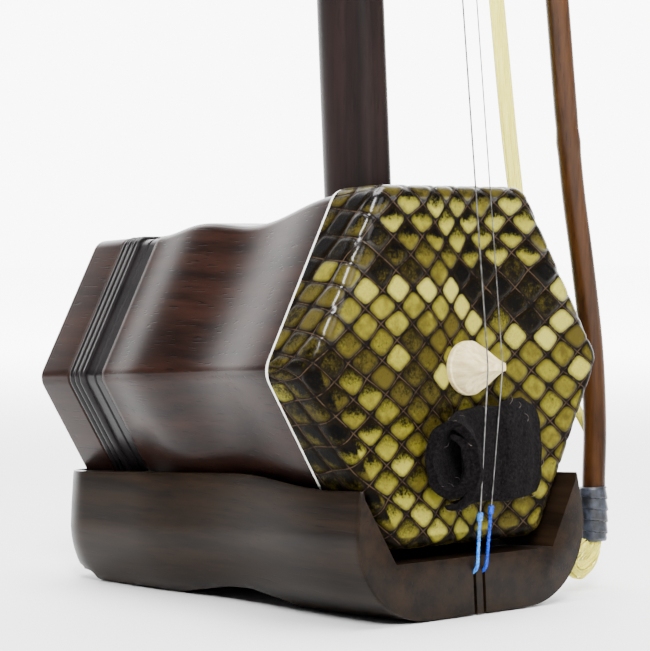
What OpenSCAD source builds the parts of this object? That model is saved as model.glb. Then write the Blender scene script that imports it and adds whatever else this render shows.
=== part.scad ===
// Erhu: two-string bowed fiddle with a hexagonal wavy body, a cradle base and its bow.
// Modelled along the body's own axes and then leant back as it stands on its cradle.
// Millimetres, +Z up. Origin: middle of the cradle's front foot, on the ground.

/* [Body] */
// Half of the width across flats at the skin end
front_apothem = 45; // [40:0.5:50]
// Length of the body along its axis
body_len = 122.3; // [118:0.1:130]
// Height of the body axis above the cradle's underside
axis_z = 62.5; // [60:0.5:66]
// Distance from the neck axis forward to the skin
neck_to_skin = 36; // [34:0.5:38]
// How far the skin wraps back over the body
skin_wrap = 15.8; // [12:0.1:17]
// Half width across flats at the waist
waist_apothem = 38.1; // [37:0.1:40]
// Half width across flats at the hump behind the waist
hump_apothem = 39.8; // [38.5:0.1:41]

/* [Neck and strings] */
// Height of the neck's straight part above the cradle's underside
neck_top = 735; // [720:1:760]
// Radius of the neck's rounded back
neck_r = 8.3; // [7.5:0.1:9]
// Height of the peg of the outer string
lower_peg_z = 607; // [590:1:615]
// Height of the peg of the inner string
upper_peg_z = 692; // [680:1:700]
// Height of the cord loop that stops the strings
loop_z = 452; // [445:1:460]
// Height of the bridge above the skin
bridge_h = 10.1; // [9.5:0.1:11]

/* [Bow] */
// Height at which the bow hair passes between the strings
cross_z = 400; // [396:1:402]
// Radius of the bow stick
stick_r = 3.25; // [3:0.05:3.4]
// Length of stick above the crossing
stick_up = 362; // [350:1:380]

/* [Stance] */
// Angle by which the instrument leans back on its cradle
lean = 3.3; // [3.2:0.05:3.4]

/* [Hidden] */

skin_y = -neck_to_skin;
rear_y = skin_y + body_len;
ledge_y = skin_y + 94.4;
bead_y = skin_y + 101.8;
collar_y = skin_y + 108.6;
wood_front = front_apothem - 1.4;
core_apothem = 35;
inner_apothem = 32.5;
collar_apothem = 37.8;
bead_r = 1.1;

// Resting point of the cradle's front foot, along the body's own axes
foot_y = -20;
foot_z = (foot_y + 34) * tan(lean);

tenon_r = 6.5;
string_slope = 0.0404;
crest_y = skin_y - bridge_h;
crest_z = axis_z - 1.1;
bridge_x = 1;
inner_r = 0.23;
outer_r = 0.17;
rest_r = 0.26;

function string_y(z) = crest_y - rest_r + string_slope * (z - crest_z);
function ease(t) = (1 - cos(180 * t)) / 2;
function blend(a, b, t) = a + (b - a) * ease(t);
function arc(cx, cy, r, a0, a1, n) =
  [for (i = [0 : n]) let (a = a0 + (a1 - a0) * i / n) [cx + r * cos(a), cy + r * sin(a)]];

// Half width across flats of the wavy wood, by distance behind the skin
waist_d = 55;
hump_d = 74;
tail_d = 94.4;
tail_apothem = 37.6;
function wave(d) =
  d < skin_wrap ? wood_front :
  d < waist_d ? blend(wood_front, waist_apothem, (d - skin_wrap) / (waist_d - skin_wrap)) :
  d < hump_d ? blend(waist_apothem, hump_apothem, (d - waist_d) / (hump_d - waist_d)) :
  d < tail_d ? blend(hump_apothem, tail_apothem, (d - hump_d) / (tail_d - hump_d)) :
  tail_apothem;

// Stand the model on the ground, leaning back
module stand() rotate([-lean, 0, 0]) translate([0, -foot_y, -foot_z]) children();

// Prism along X from an outline of [y, z] points
module across(points, half) rotate([90, 0, 90]) translate([0, 0, -half])
  linear_extrude(2 * half) polygon(points);

// Prism along Y from an outline of [x, z] points
module along(points, y0, y1) translate([0, y1, 0]) rotate([90, 0, 0])
  linear_extrude(y1 - y0) polygon(points);

// One sixth of a hexagonal ring whose section is an outline of [y, apothem] points
module ring_sixth(k, points) translate([0, 0, axis_z]) rotate([0, 60 * k, 0])
  intersection() {
    across(points, 40);
    along([[0, 0], [60 * tan(30), 60], [-60 * tan(30), 60]], skin_y - 5, rear_y + 5);
  }

// Hexagonal solid whose flats follow an outline of [y, apothem] points, front to back
module hex_solid(points) translate([0, 0, axis_z]) intersection_for (k = [0 : 2])
  rotate([0, 60 * k, 0]) across(concat(points,
    [for (i = [len(points) - 1 : -1 : 0]) [points[i][0], -points[i][1]]]), 60);

module hex_bar(apothem, y0, y1) hex_solid([[y0, apothem], [y1, apothem]]);

// Straight piece of round cord or rod between two points
module rod(p, q, r) {
  v = q - p;
  translate(p) rotate([0, acos(v[2] / norm(v)), atan2(v[1], v[0])])
    cylinder(h = norm(v), r = r, $fn = 24);
}

module rod_chain(points, r) {
  for (i = [0 : len(points) - 2]) rod(points[i], points[i + 1], r);
  for (i = [1 : len(points) - 2]) translate(points[i]) sphere(r * 1.05, $fn = 24);
}

// ---- body ----

module stave_outline(k) ring_sixth(k, concat(
  [[rear_y, inner_apothem], [rear_y, core_apothem], [ledge_y, core_apothem]],
  [for (i = [0 : 30]) let (d = tail_d - (tail_d - skin_wrap) * i / 30) [skin_y + d, wave(d)]],
  [[skin_y + skin_t, wood_front], [skin_y + skin_t, inner_apothem]]
));

module stave(k) color([0.24, 0.13, 0.11]) stave_outline(k);

mortise_z = 99.5;
module stave_top() color([0.24, 0.13, 0.11]) difference() {
  stave_outline(0);
  translate([0, 0, mortise_z]) neck_section(20);
  translate([0, 0, 80]) cylinder(h = 40, r = tenon_r + 0.05, $fn = 64);
}
module stave_bottom() color([0.22, 0.13, 0.1]) difference() {
  stave_outline(3);
  translate([0, 0, 10]) cylinder(h = 40, r = tenon_r + 0.05, $fn = 64);
}

band_apothem = 37;
module bead_ring() color([0.07, 0.06, 0.06]) difference() {
  hex_solid(concat(
    [[ledge_y, band_apothem], [bead_y, band_apothem]],
    [for (n = [0 : 2]) each arc(bead_y + bead_r * (1 + 2 * n), band_apothem + 0.1, bead_r, 172, 8, 7)],
    [[collar_y, band_apothem]]
  ));
  hex_bar(core_apothem, ledge_y - 1, collar_y + 1);
}

module rear_collar() color([0.25, 0.15, 0.12]) difference() {
  hex_solid([[collar_y, collar_apothem], [rear_y - 1, collar_apothem], [rear_y, collar_apothem - 1]]);
  hex_bar(core_apothem, collar_y - 1, rear_y + 1);
}

window_y = rear_y - 8;
window_t = 4;
cell = 11.4;
cell_r = 5;
module sound_window() color([0.3, 0.18, 0.12]) difference() {
  hex_bar(inner_apothem - 0.05, window_y, window_y + window_t);
  for (i = [-2 : 2], j = [-2 : 2]) if (abs(i + j) < 3)
    translate([cell * (i + j / 2), window_y + window_t + 2, axis_z + cell * sin(60) * j])
      rotate([90, 30, 0]) cylinder(h = window_t + 4, r = cell_r, $fn = 6);
}

skin_t = 1;
edge_r = 2.5;
module snakeskin() color([0.55, 0.52, 0.22]) difference() {
  hex_solid(concat(arc(skin_y + edge_r, front_apothem - edge_r, edge_r, 180, 90, 6),
    [[skin_y + skin_wrap, front_apothem]]));
  hex_bar(wood_front, skin_y + skin_t, rear_y);
}

lining_w = 1.2;
module skin_lining() color([0.92, 0.9, 0.84]) difference() {
  hex_solid([[skin_y + skin_wrap, front_apothem - 0.3], [skin_y + skin_wrap + lining_w, front_apothem - 0.5]]);
  hex_bar(wood_front + 0.03, skin_y, rear_y);
}

// ---- bridge, damper ----

bridge_foot_r = 6.9;
crest_half = 4.2;
module bridge() color([0.93, 0.87, 0.74]) translate([bridge_x, 0, crest_z]) intersection() {
  translate([0, skin_y, 0]) rotate([90, 0, 0]) union() {
    cylinder(h = 1.6, r = bridge_foot_r, $fn = 64);
    translate([0, 0, 1.6]) cylinder(h = bridge_h - 1.6, r1 = bridge_foot_r, r2 = crest_half, $fn = 64);
  }
  across([[skin_y, -8], [skin_y, 8], [skin_y - 2.5, 6.6], [crest_y, 1.1], [crest_y, -1.1],
    [skin_y - 2.5, -6.6]], 10);
}

felt_top = axis_z - 8.2;
felt_low = axis_z - 36;
felt_x = 2.25;
felt_half = 19.75;
// Flat under the strings, and rolled up fatter on the left
module felt_damper() color([0.12, 0.11, 0.12]) {
  translate([felt_x, 0, 0]) across([[skin_y - 0.3, felt_top - 3], [skin_y - 3, felt_top], [skin_y - 5, felt_top - 4],
    [skin_y - 5, felt_low + 12], [skin_y - 3.2, felt_low], [skin_y - 0.3, felt_low + 2]], felt_half);
  translate([felt_x - felt_half + 7, 0, 0]) across([[skin_y - 0.3, felt_top - 4], [skin_y - 6, felt_top - 1],
    [skin_y - 13, felt_top - 8], [skin_y - 14.5, felt_low + 9], [skin_y - 9, felt_low + 1],
    [skin_y - 0.3, felt_low + 3]], 7);
}

// ---- neck and head ----

flat_half = 2.35;
flat_y = -9.3;
back_y = 1.2;
tangent_turn = atan2(flat_y - back_y, flat_half) + acos(neck_r / norm([flat_half, flat_y - back_y]));
tangent = [neck_r * cos(tangent_turn), back_y + neck_r * sin(tangent_turn)];

// Round back with a narrow flat in front
module neck_section(h) {
  translate([0, back_y, 0]) cylinder(h = h, r = neck_r, $fn = 96);
  linear_extrude(h) polygon([[-flat_half, flat_y], [flat_half, flat_y], tangent,
    [0, back_y], [-tangent[0], tangent[1]]]);
}

peg_r = 4.2;
peg_fit = 0.05;
module peg_hole(z) translate([0, -20, z]) rotate([-90, 0, 0])
  cylinder(h = 40, r = peg_r + peg_fit, $fn = 64);

tenon_foot = 12;
module neck() color([0.18, 0.14, 0.13]) difference() {
  union() {
    translate([0, 0, mortise_z]) neck_section(neck_top - mortise_z);
    translate([0, 0, tenon_foot]) cylinder(h = mortise_z - tenon_foot + 1, r = tenon_r, $fn = 64);
  }
  peg_hole(lower_peg_z);
  peg_hole(upper_peg_z);
  translate([0, 0, tenon_foot - 1]) cylinder(h = 17, r = 2.05, $fn = 32);
}

bend_r = 70;
bend_turn = 50;
module bend() translate([0, bend_r, neck_top]) rotate([90, 0, -90]) children();
module head() color([0.18, 0.14, 0.13]) bend() {
  rotate_extrude(angle = bend_turn, $fn = 96) translate([bend_r - back_y, 0]) circle(neck_r, $fn = 96);
  rotate_extrude(angle = bend_turn, $fn = 96) polygon([[bend_r - flat_y, -flat_half],
    [bend_r - flat_y, flat_half], [bend_r - tangent[1], tangent[0]], [bend_r - back_y, 0],
    [bend_r - tangent[1], -tangent[0]]]);
}
module head_inlay() color([0.93, 0.9, 0.82]) bend()
  rotate_extrude(angle = bend_turn, $fn = 96) translate([bend_r - flat_y, -flat_half + 0.3])
    square([0.9, 2 * flat_half - 0.6]);
module head_cap() color([0.93, 0.9, 0.82]) bend() rotate([0, 0, bend_turn])
  translate([bend_r - back_y, 0, 0]) rotate([-90, 0, 0]) {
    cylinder(h = 1.6, r = neck_r + 0.5, $fn = 64);
    translate([0, 0, 1.6]) cylinder(h = 2.4, r1 = neck_r + 0.5, r2 = 4.5, $fn = 64);
  }
band_h = 3;
module neck_band() color([0.93, 0.9, 0.82]) difference() {
  translate([0, back_y - 0.4, neck_top - 12]) cylinder(h = band_h, r = neck_r + 2.9, $fn = 96);
  translate([0, 0, neck_top - 20]) neck_section(30);
}

// ---- cradle base ----

base_half = 40.2;
horn_z = 33;
lip_y = skin_y - 2.4;
cradle_gap = 3;
base_rear = 90;
corner_x = 18;
corner_z = 21.5;

function base_wide(y) =
  y < -28 ? 1 :
  y < 19 ? blend(1, 0.9, (y + 28) / 47) :
  y < 52 ? blend(0.9, 0.965, (y - 19) / 33) :
  0.965;
function base_under(y) =
  y < -12 ? 0 :
  y < 18 ? blend(0, 6.8, (y + 12) / 30) :
  y < 48 ? blend(6.8, 4.4, (y - 18) / 30) :
  4.4 + 0.0024 * pow(y - 48, 2);
function rim_z(y) = y < -30 ? horn_z : y < 15 ? blend(horn_z, 36.5, (y + 30) / 45) : 36.5;

rear_round = 15;
function plan_edge(y) = base_half * base_wide(y)
  - (y > base_rear - rear_round ? rear_round - sqrt(pow(rear_round, 2) - pow(y - base_rear + rear_round, 2)) : 0);
base_steps = [for (y = [lip_y + 3 : 3.2 : base_rear - 2]) y];

// Cross-section seen along Y: horns, bulging sides and a rounded underside
function corner(a) = [corner_x + (base_half - corner_x) * cos(a), corner_z + corner_z * sin(a)];
module base_outline() along(concat(
  [[38.2, 40], [38.4, horn_z - 1], [39.8, corner_z + 5]],
  [for (a = [0 : -9 : -90]) corner(a)],
  [for (a = [-90 : 9 : 0]) [-corner(a)[0], corner(a)[1]]],
  [[-39.8, corner_z + 5], [-38.4, horn_z - 1], [-38.2, 40]]
), lip_y, base_rear);

// Plan view: sides that follow the body's wave and a rounded rear
module base_plan() translate([0, 0, -2]) linear_extrude(60) polygon(concat(
  [[-base_half + 1.6, lip_y], [base_half - 1.6, lip_y], [base_half, lip_y + 1.6]],
  [for (y = base_steps) [plan_edge(y), y]],
  [[plan_edge(base_rear), base_rear], [-plan_edge(base_rear), base_rear]],
  [for (i = [len(base_steps) - 1 : -1 : 0]) [-plan_edge(base_steps[i]), base_steps[i]]],
  [[-base_half, lip_y + 1.6]]
));

// Side view: arched underside, rounded tail and the rim that rises behind the horns
module base_side() across(concat(
  [[lip_y, horn_z], [lip_y, 1.2], [lip_y + 1.2, 0]],
  [for (y = base_steps) [y, base_under(y)]],
  arc(base_rear - 14, 8.7 + 14, 14, -80, 0, 8),
  [[base_rear, 36.5]],
  [for (i = [len(base_steps) - 1 : -1 : 0]) [base_steps[i], rim_z(base_steps[i])]]
), 60);

// Room for the body: its own outline moved out by a gap
module cradle_room() hex_solid(concat(
  [[lip_y - 2, front_apothem + cradle_gap]],
  [for (i = [0 : 24]) let (d = skin_wrap - 6 + (tail_d - skin_wrap + 6) * i / 24)
    [skin_y + d, max(wave(d), 38) + cradle_gap + (d < skin_wrap ? 1.4 : 0)]],
  [[base_rear + 4, 41]]
));

bolt_seat = 7.5;
slot_w = 1.2;
slot_x = [-1.1, 2.1];
pin_y = lip_y + 7;
module base() color([0.2, 0.16, 0.14]) difference() {
  intersection() {
    base_outline();
    base_plan();
    base_side();
    translate([0, foot_y, foot_z]) rotate([lean, 0, 0]) translate([-60, -40, 0]) cube([120, 160, 70]);
  }
  cradle_room();
  translate([0, 0, tenon_foot]) cylinder(h = 40, r = tenon_r + 0.05, $fn = 64);
  translate([0, 0, -2]) cylinder(h = 20, r = 2.6, $fn = 48);
  translate([0, 0, -2]) cylinder(h = bolt_seat + 2, r = 7.05, $fn = 64);
  for (x = slot_x) translate([x - slot_w / 2, lip_y - 1, -2]) cube([slot_w, 2.6, slot_z + 2.6]);
  translate([0, pin_y, -1]) cylinder(h = 5, r = 4.5, $fn = 48);
  translate([0, pin_y, 0]) cylinder(h = 9, r = 1.25, $fn = 32);
}

module base_pad() color([0.1, 0.09, 0.09]) difference() {
  intersection() {
    translate([-15, -14, 10]) cube([30, 28, 20]);
    difference() {
      cradle_room();
      hex_solid([for (i = [0 : 30]) let (d = skin_wrap + (tail_d - skin_wrap) * i / 30) [skin_y + d, wave(d)]]);
    }
  }
  translate([0, 0, 0]) cylinder(h = 40, r = tenon_r + 0.3, $fn = 64);
}

module base_bolt() color([0.75, 0.73, 0.7]) {
  translate([0, 0, bolt_seat - 2.8]) cylinder(h = 2.8, r = 5.2, $fn = 48);
  translate([0, 0, bolt_seat - 0.5]) cylinder(h = 17, r = 2, $fn = 32);
}
module foot_plug() color([0.16, 0.12, 0.1]) translate([0, 0, 2.8]) cylinder(h = 1.7, r = 7, $fn = 64);
module tail_pin() color([0.75, 0.6, 0.3]) translate([0, pin_y, 1.6]) {
  cylinder(h = 2.3, r = 3.2, $fn = 48);
  cylinder(h = 7.3, r = 1.2, $fn = 32);
}

// ---- strings ----

slot_z = 10.8;
loop_half = 2.2;
inner_x = -1.6;
outer_x = 3.6;
coil_r = 4.9;
inner_bridge = [inner_x, string_y(crest_z), crest_z];
outer_bridge = [outer_x, string_y(crest_z), crest_z];
silk_top_inner = 25;
silk_top_outer = 26.5;
slot_y_string = lip_y - 0.9;
function silk_x(x) = x < bridge_x ? slot_x[0] : slot_x[1];
function tail_point(x, top) = let (t = (top - slot_z) / (crest_z - slot_z))
  [silk_x(x) + (x - silk_x(x)) * t, slot_y_string + (string_y(crest_z) - slot_y_string) * t, top];
module string_inner() color([0.8, 0.8, 0.8]) rod_chain([
  tail_point(inner_x, silk_top_inner), inner_bridge,
  [-loop_half, string_y(loop_z), loop_z], [-coil_r - 0.6, -18, upper_peg_z]
], inner_r);
module string_outer() color([0.75, 0.75, 0.75]) rod_chain([
  tail_point(outer_x, silk_top_outer), outer_bridge,
  [loop_half, string_y(loop_z), loop_z], [coil_r + 0.6, -14.5, lower_peg_z]
], outer_r);

silk_r = 0.5;
module silk(x, top) rod_chain([
  tail_point(x, top), [silk_x(x), slot_y_string, slot_z], [silk_x(x), lip_y + 0.9, slot_z - 1.2],
  [silk_x(x), lip_y + 0.9, 2]
], silk_r);
module silk_inner() color([0.3, 0.6, 0.9]) silk(inner_x, silk_top_inner);
module silk_outer() color([0.15, 0.3, 0.75]) silk(outer_x, silk_top_outer);

cord_r = 0.6;
back_loop_r = neck_r + 0.3 + cord_r;
front_loop_r = 3.4;
front_loop_y = string_y(loop_z) + 0.5;
module qianjin() color([0.85, 0.1, 0.1]) translate([0, 0, loop_z]) {
  translate([0, back_y, 0]) rotate_extrude(angle = 180, $fn = 96)
    translate([back_loop_r, 0]) circle(cord_r, $fn = 24);
  translate([0, front_loop_y, 0]) rotate([0, 0, 180]) rotate_extrude(angle = 180, $fn = 96)
    translate([front_loop_r, 0]) circle(cord_r, $fn = 24);
  for (s = [-1, 1])
    rod([s * back_loop_r, back_y, 0], [s * front_loop_r, front_loop_y, 0], cord_r);
}

// ---- pegs ----

handle_y = 12;
handle_len = 58;
module peg(z, front) color([0.15, 0.11, 0.1]) translate([0, 0, z]) {
  translate([0, front, 0]) rotate([-90, 0, 0]) cylinder(h = handle_y - front, r = peg_r, $fn = 64);
  translate([0, handle_y, 0]) rotate([-90, 0, 0]) rotate_extrude($fn = 64) polygon(concat(
    [[0, 0], [5.2, 0], [6.2, 1.2], [5.4, 3]],
    [for (i = [0 : 8]) [5.4 + 3.9 * ease(i / 8), 5 + 38 * i / 8]],
    arc(0, handle_len - 9.3, 9.3, 0, 60, 6), [[0, handle_len - 1.25]]
  ));
}
module peg_cap(z) color([0.93, 0.9, 0.82]) translate([0, handle_y + handle_len - 1.25, z])
  rotate([-90, 0, 0]) rotate_extrude($fn = 48)
    polygon([[0, 0], [4.4, 0], [4.4, 1.2], [3.2, 2.6], [2.6, 4.6], [1.4, 5.6], [0, 5.8]]);
lower_front = -19.5;
upper_front = -24;
module peg_upper() peg(upper_peg_z, upper_front);
module peg_lower() peg(lower_peg_z, lower_front);
module peg_cap_upper() peg_cap(upper_peg_z);
module peg_cap_lower() peg_cap(lower_peg_z);

module winding(z, y0, turns, r) color([0.75, 0.75, 0.75]) translate([0, y0, z]) rotate([-90, 0, 0])
  rotate_extrude($fn = 64) polygon(concat([[peg_r, 0]],
    [for (n = [0 : turns - 1]) each [for (a = [30 : 30 : 150])
      [peg_r + 0.1 + r * (0.3 + sin(a)), 2 * r * (n + 0.5) + r * -cos(a)]]],
    [[peg_r, 2 * r * turns]]));
module winding_upper() winding(upper_peg_z, -20.5, 8, inner_r);
module winding_lower() winding(lower_peg_z, -17, 9, outer_r);

// ---- bow ----

hair_lean_x = 0.155;
hair_lean_y = 0.067;
turn_y = -atan(hair_lean_x);
turn_x = atan(hair_lean_y * cos(turn_y));
stick_side = -47;

// Bow's own frame: +Z up the hair, +X from the hair to the stick, origin at the crossing
module bow_frame() translate([0, string_y(cross_z), cross_z]) rotate([turn_x, turn_y, 0])
  rotate([0, 0, stick_side]) children();

stick_gap = 19;
gap_slope = 0.0119;
function stick_at(z) = [stick_gap + gap_slope * z, 0, z];
hair_low = -295;
frog_low = 262;
frog_len = 54;
stick_end = [12.2, -11.1, -391];
stick_tip = [[15.8, -0.9, -341.5], [14.7, -4.3, -362.2], [13.1, -8.2, -376.7], [12.6, -9.9, -384.5]];
module stick_path(r) rod_chain(concat([stick_end], [for (i = [3 : -1 : 0]) stick_tip[i]],
  [stick_at(hair_low), stick_at(frog_low - 10)]), r);
module bow_stick() color([0.36, 0.22, 0.1]) bow_frame() difference() {
  union() {
    stick_path(stick_r);
    rod(stick_at(frog_low - 10), stick_at(stick_up - 15), stick_r + 0.6);
  }
  rod(stick_at(frog_low + 12), stick_at(stick_up), 1.5);
  translate([stick_at(frog_low)[0] - 5, -1.1, frog_low + 14]) cube([6.9, 2.2, 26]);
}

ribbon_t = 1.2;
ribbon_w = 9;
low_ribbon_w = 8.6;
ribbon_turn = -8.4;
module ribbon(w, t, z0, z1, turn) rotate([0, 0, turn]) translate([-t / 2, -w / 2, z0])
  cube([t, w, z1 - z0]);
hair_tail = [[1, 1.5, -312], [4.5, 4.5, -335], [10, 4.5, -355], [14.6, 0.8, -367], [16, -3, -373.5]];
tail_r = 1.8;
module bow_hair() color([0.93, 0.94, 0.78]) bow_frame() {
  ribbon(ribbon_w, ribbon_t, -245, frog_low + 16, ribbon_turn);
  ribbon(low_ribbon_w, 2.2, hair_low, -244, -22);
  rod_chain(concat([[0, 0, hair_low + 2]], hair_tail), tail_r);
}

module tip_wrap() color([0.24, 0.26, 0.3]) bow_frame() difference() {
  rod([12.9, -9.2, -377], [12.3, -11.1, -389], 4.4);
  stick_path(stick_r + 0.05);
}
module hair_tuft() color([0.93, 0.94, 0.78]) bow_frame()
  rod_chain([[12.2, -12, -393.5], [10.8, -14, -397], [8.4, -17, -399]], 3);
module grip_wrap() color([0.1, 0.1, 0.1]) bow_frame() difference() {
  rod(stick_at(frog_low - 60), stick_at(frog_low - 21.5), stick_r + 0.5);
  rod(stick_at(frog_low - 61), stick_at(frog_low - 20), stick_r + 0.02);
}

frog_x = 22.4;
module frog() color([0.08, 0.07, 0.07]) bow_frame() difference() {
  translate([frog_x - stick_r - 0.8, 0, 0]) intersection() {
    translate([-17, -5.4, frog_low]) cube([17.6, 10.8, frog_len]);
    rotate([90, 0, 0]) translate([0, 0, -10]) linear_extrude(20) polygon([
      [0.6, frog_low], [0.6, frog_low + frog_len], [-8, frog_low + frog_len],
      [-15, frog_low + frog_len - 8], [-18.2, frog_low + frog_len - 18], [-20.2, frog_low + 14],
      [-20.2, frog_low + 1], [-12, frog_low + 4], [-6, frog_low + 2]]);
  }
  rod(stick_at(frog_low - 5), stick_at(frog_low + frog_len + 5), stick_r + 0.65);
  translate([-1.6, -5, frog_low - 2]) cube([3.2, 10, 26]);
  translate([ferrule_room[0] - 0.05, -8, frog_low + 0.95]) cube([1, 16, 10.1]);
  eyelet_blank();
}
// Inner side of the ferrule's wall under the hair, and half of its inner width
ferrule_room = [3.6, 5.45];
module frog_ferrule() color([0.8, 0.78, 0.72]) bow_frame() difference() {
  translate([-2.9, -6.4, frog_low + 1]) cube([7.4, 12.8, 10]);
  translate([-1.8, -ferrule_room[1], frog_low]) cube([1.8 + ferrule_room[0], 2 * ferrule_room[1], 12]);
}
module eyelet_blank() translate([stick_at(frog_low + 27)[0] - 8.5, -0.9, frog_low + 24])
  cube([9.8, 1.8, 6]);
module frog_eyelet() color([0.8, 0.65, 0.35]) bow_frame() difference() {
  eyelet_blank();
  rod(stick_at(frog_low + 20), stick_at(frog_low + 36), 0.85);
}
module bow_screw() color([0.75, 0.73, 0.7]) bow_frame()
  rod(stick_at(frog_low + 18), stick_at(stick_up - 10), 0.8);
module screw_button() color([0.9, 0.87, 0.8]) bow_frame() translate(stick_at(stick_up - 14.6))
  rotate([0, atan(gap_slope), 0]) rotate_extrude($fn = 48) polygon(concat(
    [[4.2, 0], [4.6, 1.5], [4, 3]],
    [for (i = [0 : 6]) [4 + 0.8 * sin(30 * i), 3 + 1.4 * i]],
    [[2.4, 13.6], [0, 14.2], [0, 5.2], [0.85, 5.2], [0.85, 0]]));

stand() stave_top();
stand() stave(5);  // stave_upper_left
stand() stave(4);  // stave_lower_left
stand() stave_bottom();
stand() stave(2);  // stave_lower_right
stand() stave(1);  // stave_upper_right
stand() bead_ring();
stand() rear_collar();
stand() sound_window();
stand() snakeskin();
stand() skin_lining();
stand() bridge();
stand() felt_damper();
stand() neck();
stand() head();
stand() head_inlay();
stand() head_cap();
stand() neck_band();
stand() base();
stand() base_pad();
stand() base_bolt();
stand() foot_plug();
stand() tail_pin();
stand() string_inner();
stand() string_outer();
stand() silk_inner();
stand() silk_outer();
stand() qianjin();
stand() peg_upper();
stand() peg_lower();
stand() peg_cap_upper();
stand() peg_cap_lower();
stand() winding_upper();
stand() winding_lower();
stand() bow_stick();
stand() bow_hair();
stand() tip_wrap();
stand() hair_tuft();
stand() grip_wrap();
stand() frog();
stand() frog_ferrule();
stand() frog_eyelet();
stand() bow_screw();
stand() screw_button();
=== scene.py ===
import math

import bmesh
import bpy
import numpy as np
from mathutils import Matrix, Vector


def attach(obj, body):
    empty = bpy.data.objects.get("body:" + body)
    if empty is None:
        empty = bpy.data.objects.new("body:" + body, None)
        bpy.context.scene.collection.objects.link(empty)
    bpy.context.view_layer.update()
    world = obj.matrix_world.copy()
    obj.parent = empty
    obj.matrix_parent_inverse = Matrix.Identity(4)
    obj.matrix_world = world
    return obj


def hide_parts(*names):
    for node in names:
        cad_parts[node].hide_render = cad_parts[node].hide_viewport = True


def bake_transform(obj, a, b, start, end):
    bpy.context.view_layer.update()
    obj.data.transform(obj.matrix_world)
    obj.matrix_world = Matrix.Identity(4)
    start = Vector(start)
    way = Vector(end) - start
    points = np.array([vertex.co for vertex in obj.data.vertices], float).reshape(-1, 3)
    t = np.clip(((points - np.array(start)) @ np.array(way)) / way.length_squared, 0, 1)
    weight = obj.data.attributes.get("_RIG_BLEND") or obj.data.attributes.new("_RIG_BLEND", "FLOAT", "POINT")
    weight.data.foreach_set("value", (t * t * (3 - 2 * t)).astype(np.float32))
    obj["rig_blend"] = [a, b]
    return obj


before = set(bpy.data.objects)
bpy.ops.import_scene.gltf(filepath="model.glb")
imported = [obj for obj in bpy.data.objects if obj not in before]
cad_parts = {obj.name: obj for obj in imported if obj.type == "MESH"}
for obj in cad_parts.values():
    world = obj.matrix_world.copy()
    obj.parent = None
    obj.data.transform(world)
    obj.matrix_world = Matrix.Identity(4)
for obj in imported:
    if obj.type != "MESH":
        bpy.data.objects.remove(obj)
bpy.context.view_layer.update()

mm = 0.001

print("camera")
view = {"place": (-0.4454, -0.4577, 0.0941), "azimuth": -41.86, "down": 2.0, "lens": 138.75}
camData = bpy.data.cameras.new("camera")
camData.lens, camData.sensor_width = view["lens"], 36
camData.clip_start, camData.clip_end = 0.01, 50
cam = bpy.data.objects.new("camera", camData)
bpy.context.scene.collection.objects.link(cam)
cam.location = view["place"]
cam.rotation_euler = (math.radians(90 - view["down"]), 0, math.radians(view["azimuth"]))
bpy.context.scene.camera = cam

print("helpers")
body = {"axis": 62.5, "skin": -36.0, "lean": 3.3, "foot": -20.0, "string": -46.36,
        "stringRise": 0.0404}
lean = math.radians(body["lean"])
leanBack = Matrix.Rotation(-lean, 4, "X") @ Matrix.Translation((0, -body["foot"], -14 * math.tan(lean)))
leanArray = np.array(leanBack)


def stand(points):
    # the instrument's own millimetres to the frame's metres, leaning back on the cradle
    points = np.asarray(points, float).reshape(-1, 3)
    return (points @ leanArray[:3, :3].T + leanArray[:3, 3]) * mm


def ease(t):
    return (1 - np.cos(np.pi * np.clip(t, 0, 1))) / 2


def unit(v):
    v = np.asarray(v, float)
    return v / np.linalg.norm(v, axis=-1, keepdims=True)


def gridFaces(rows, cols, closedRows=False):
    faces = []
    for r in range(rows if closedRows else rows - 1):
        a, b = r * cols, (r + 1) % rows * cols
        for c in range(cols):
            d = (c + 1) % cols
            faces.append((a + c, a + d, b + d, b + c))
    return faces


def loft(rings, closedRows=False):
    # rings of equally many points, joined one to the next, with a face at each end
    rings = np.asarray(rings, float)
    rows, cols = rings.shape[:2]
    faces = gridFaces(rows, cols, closedRows)
    if not closedRows:
        faces += [tuple(range(cols))[::-1], tuple(range((rows - 1) * cols, rows * cols))]
    return rings.reshape(-1, 3), faces


def frames(path):
    # tangents of a path and two directions across it that don't twist
    path = np.asarray(path, float)
    tangents = unit(np.gradient(path, axis=0))
    first = np.cross(tangents[0], (0, 0, 1) if abs(tangents[0][2]) < 0.9 else (1, 0, 0))
    across = [unit(first)]
    for t in tangents[1:]:
        across.append(unit(across[-1] - t * np.dot(across[-1], t)))
    across = np.array(across)
    return tangents, across, np.cross(tangents, across)


def sweep(path, radius, sides=24):
    # a tube along a path; radius is one number, one per point, or one per point and side
    path = np.asarray(path, float)
    _, across, through = frames(path)
    a = np.linspace(0, 2 * np.pi, sides, endpoint=False)
    radius = np.broadcast_to(np.asarray(radius, float).reshape(-1, 1) if np.ndim(radius) < 2
                             else radius, (len(path), sides))
    return loft(path[:, None] + across[:, None] * (radius * np.cos(a))[..., None]
                + through[:, None] * (radius * np.sin(a))[..., None])


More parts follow.
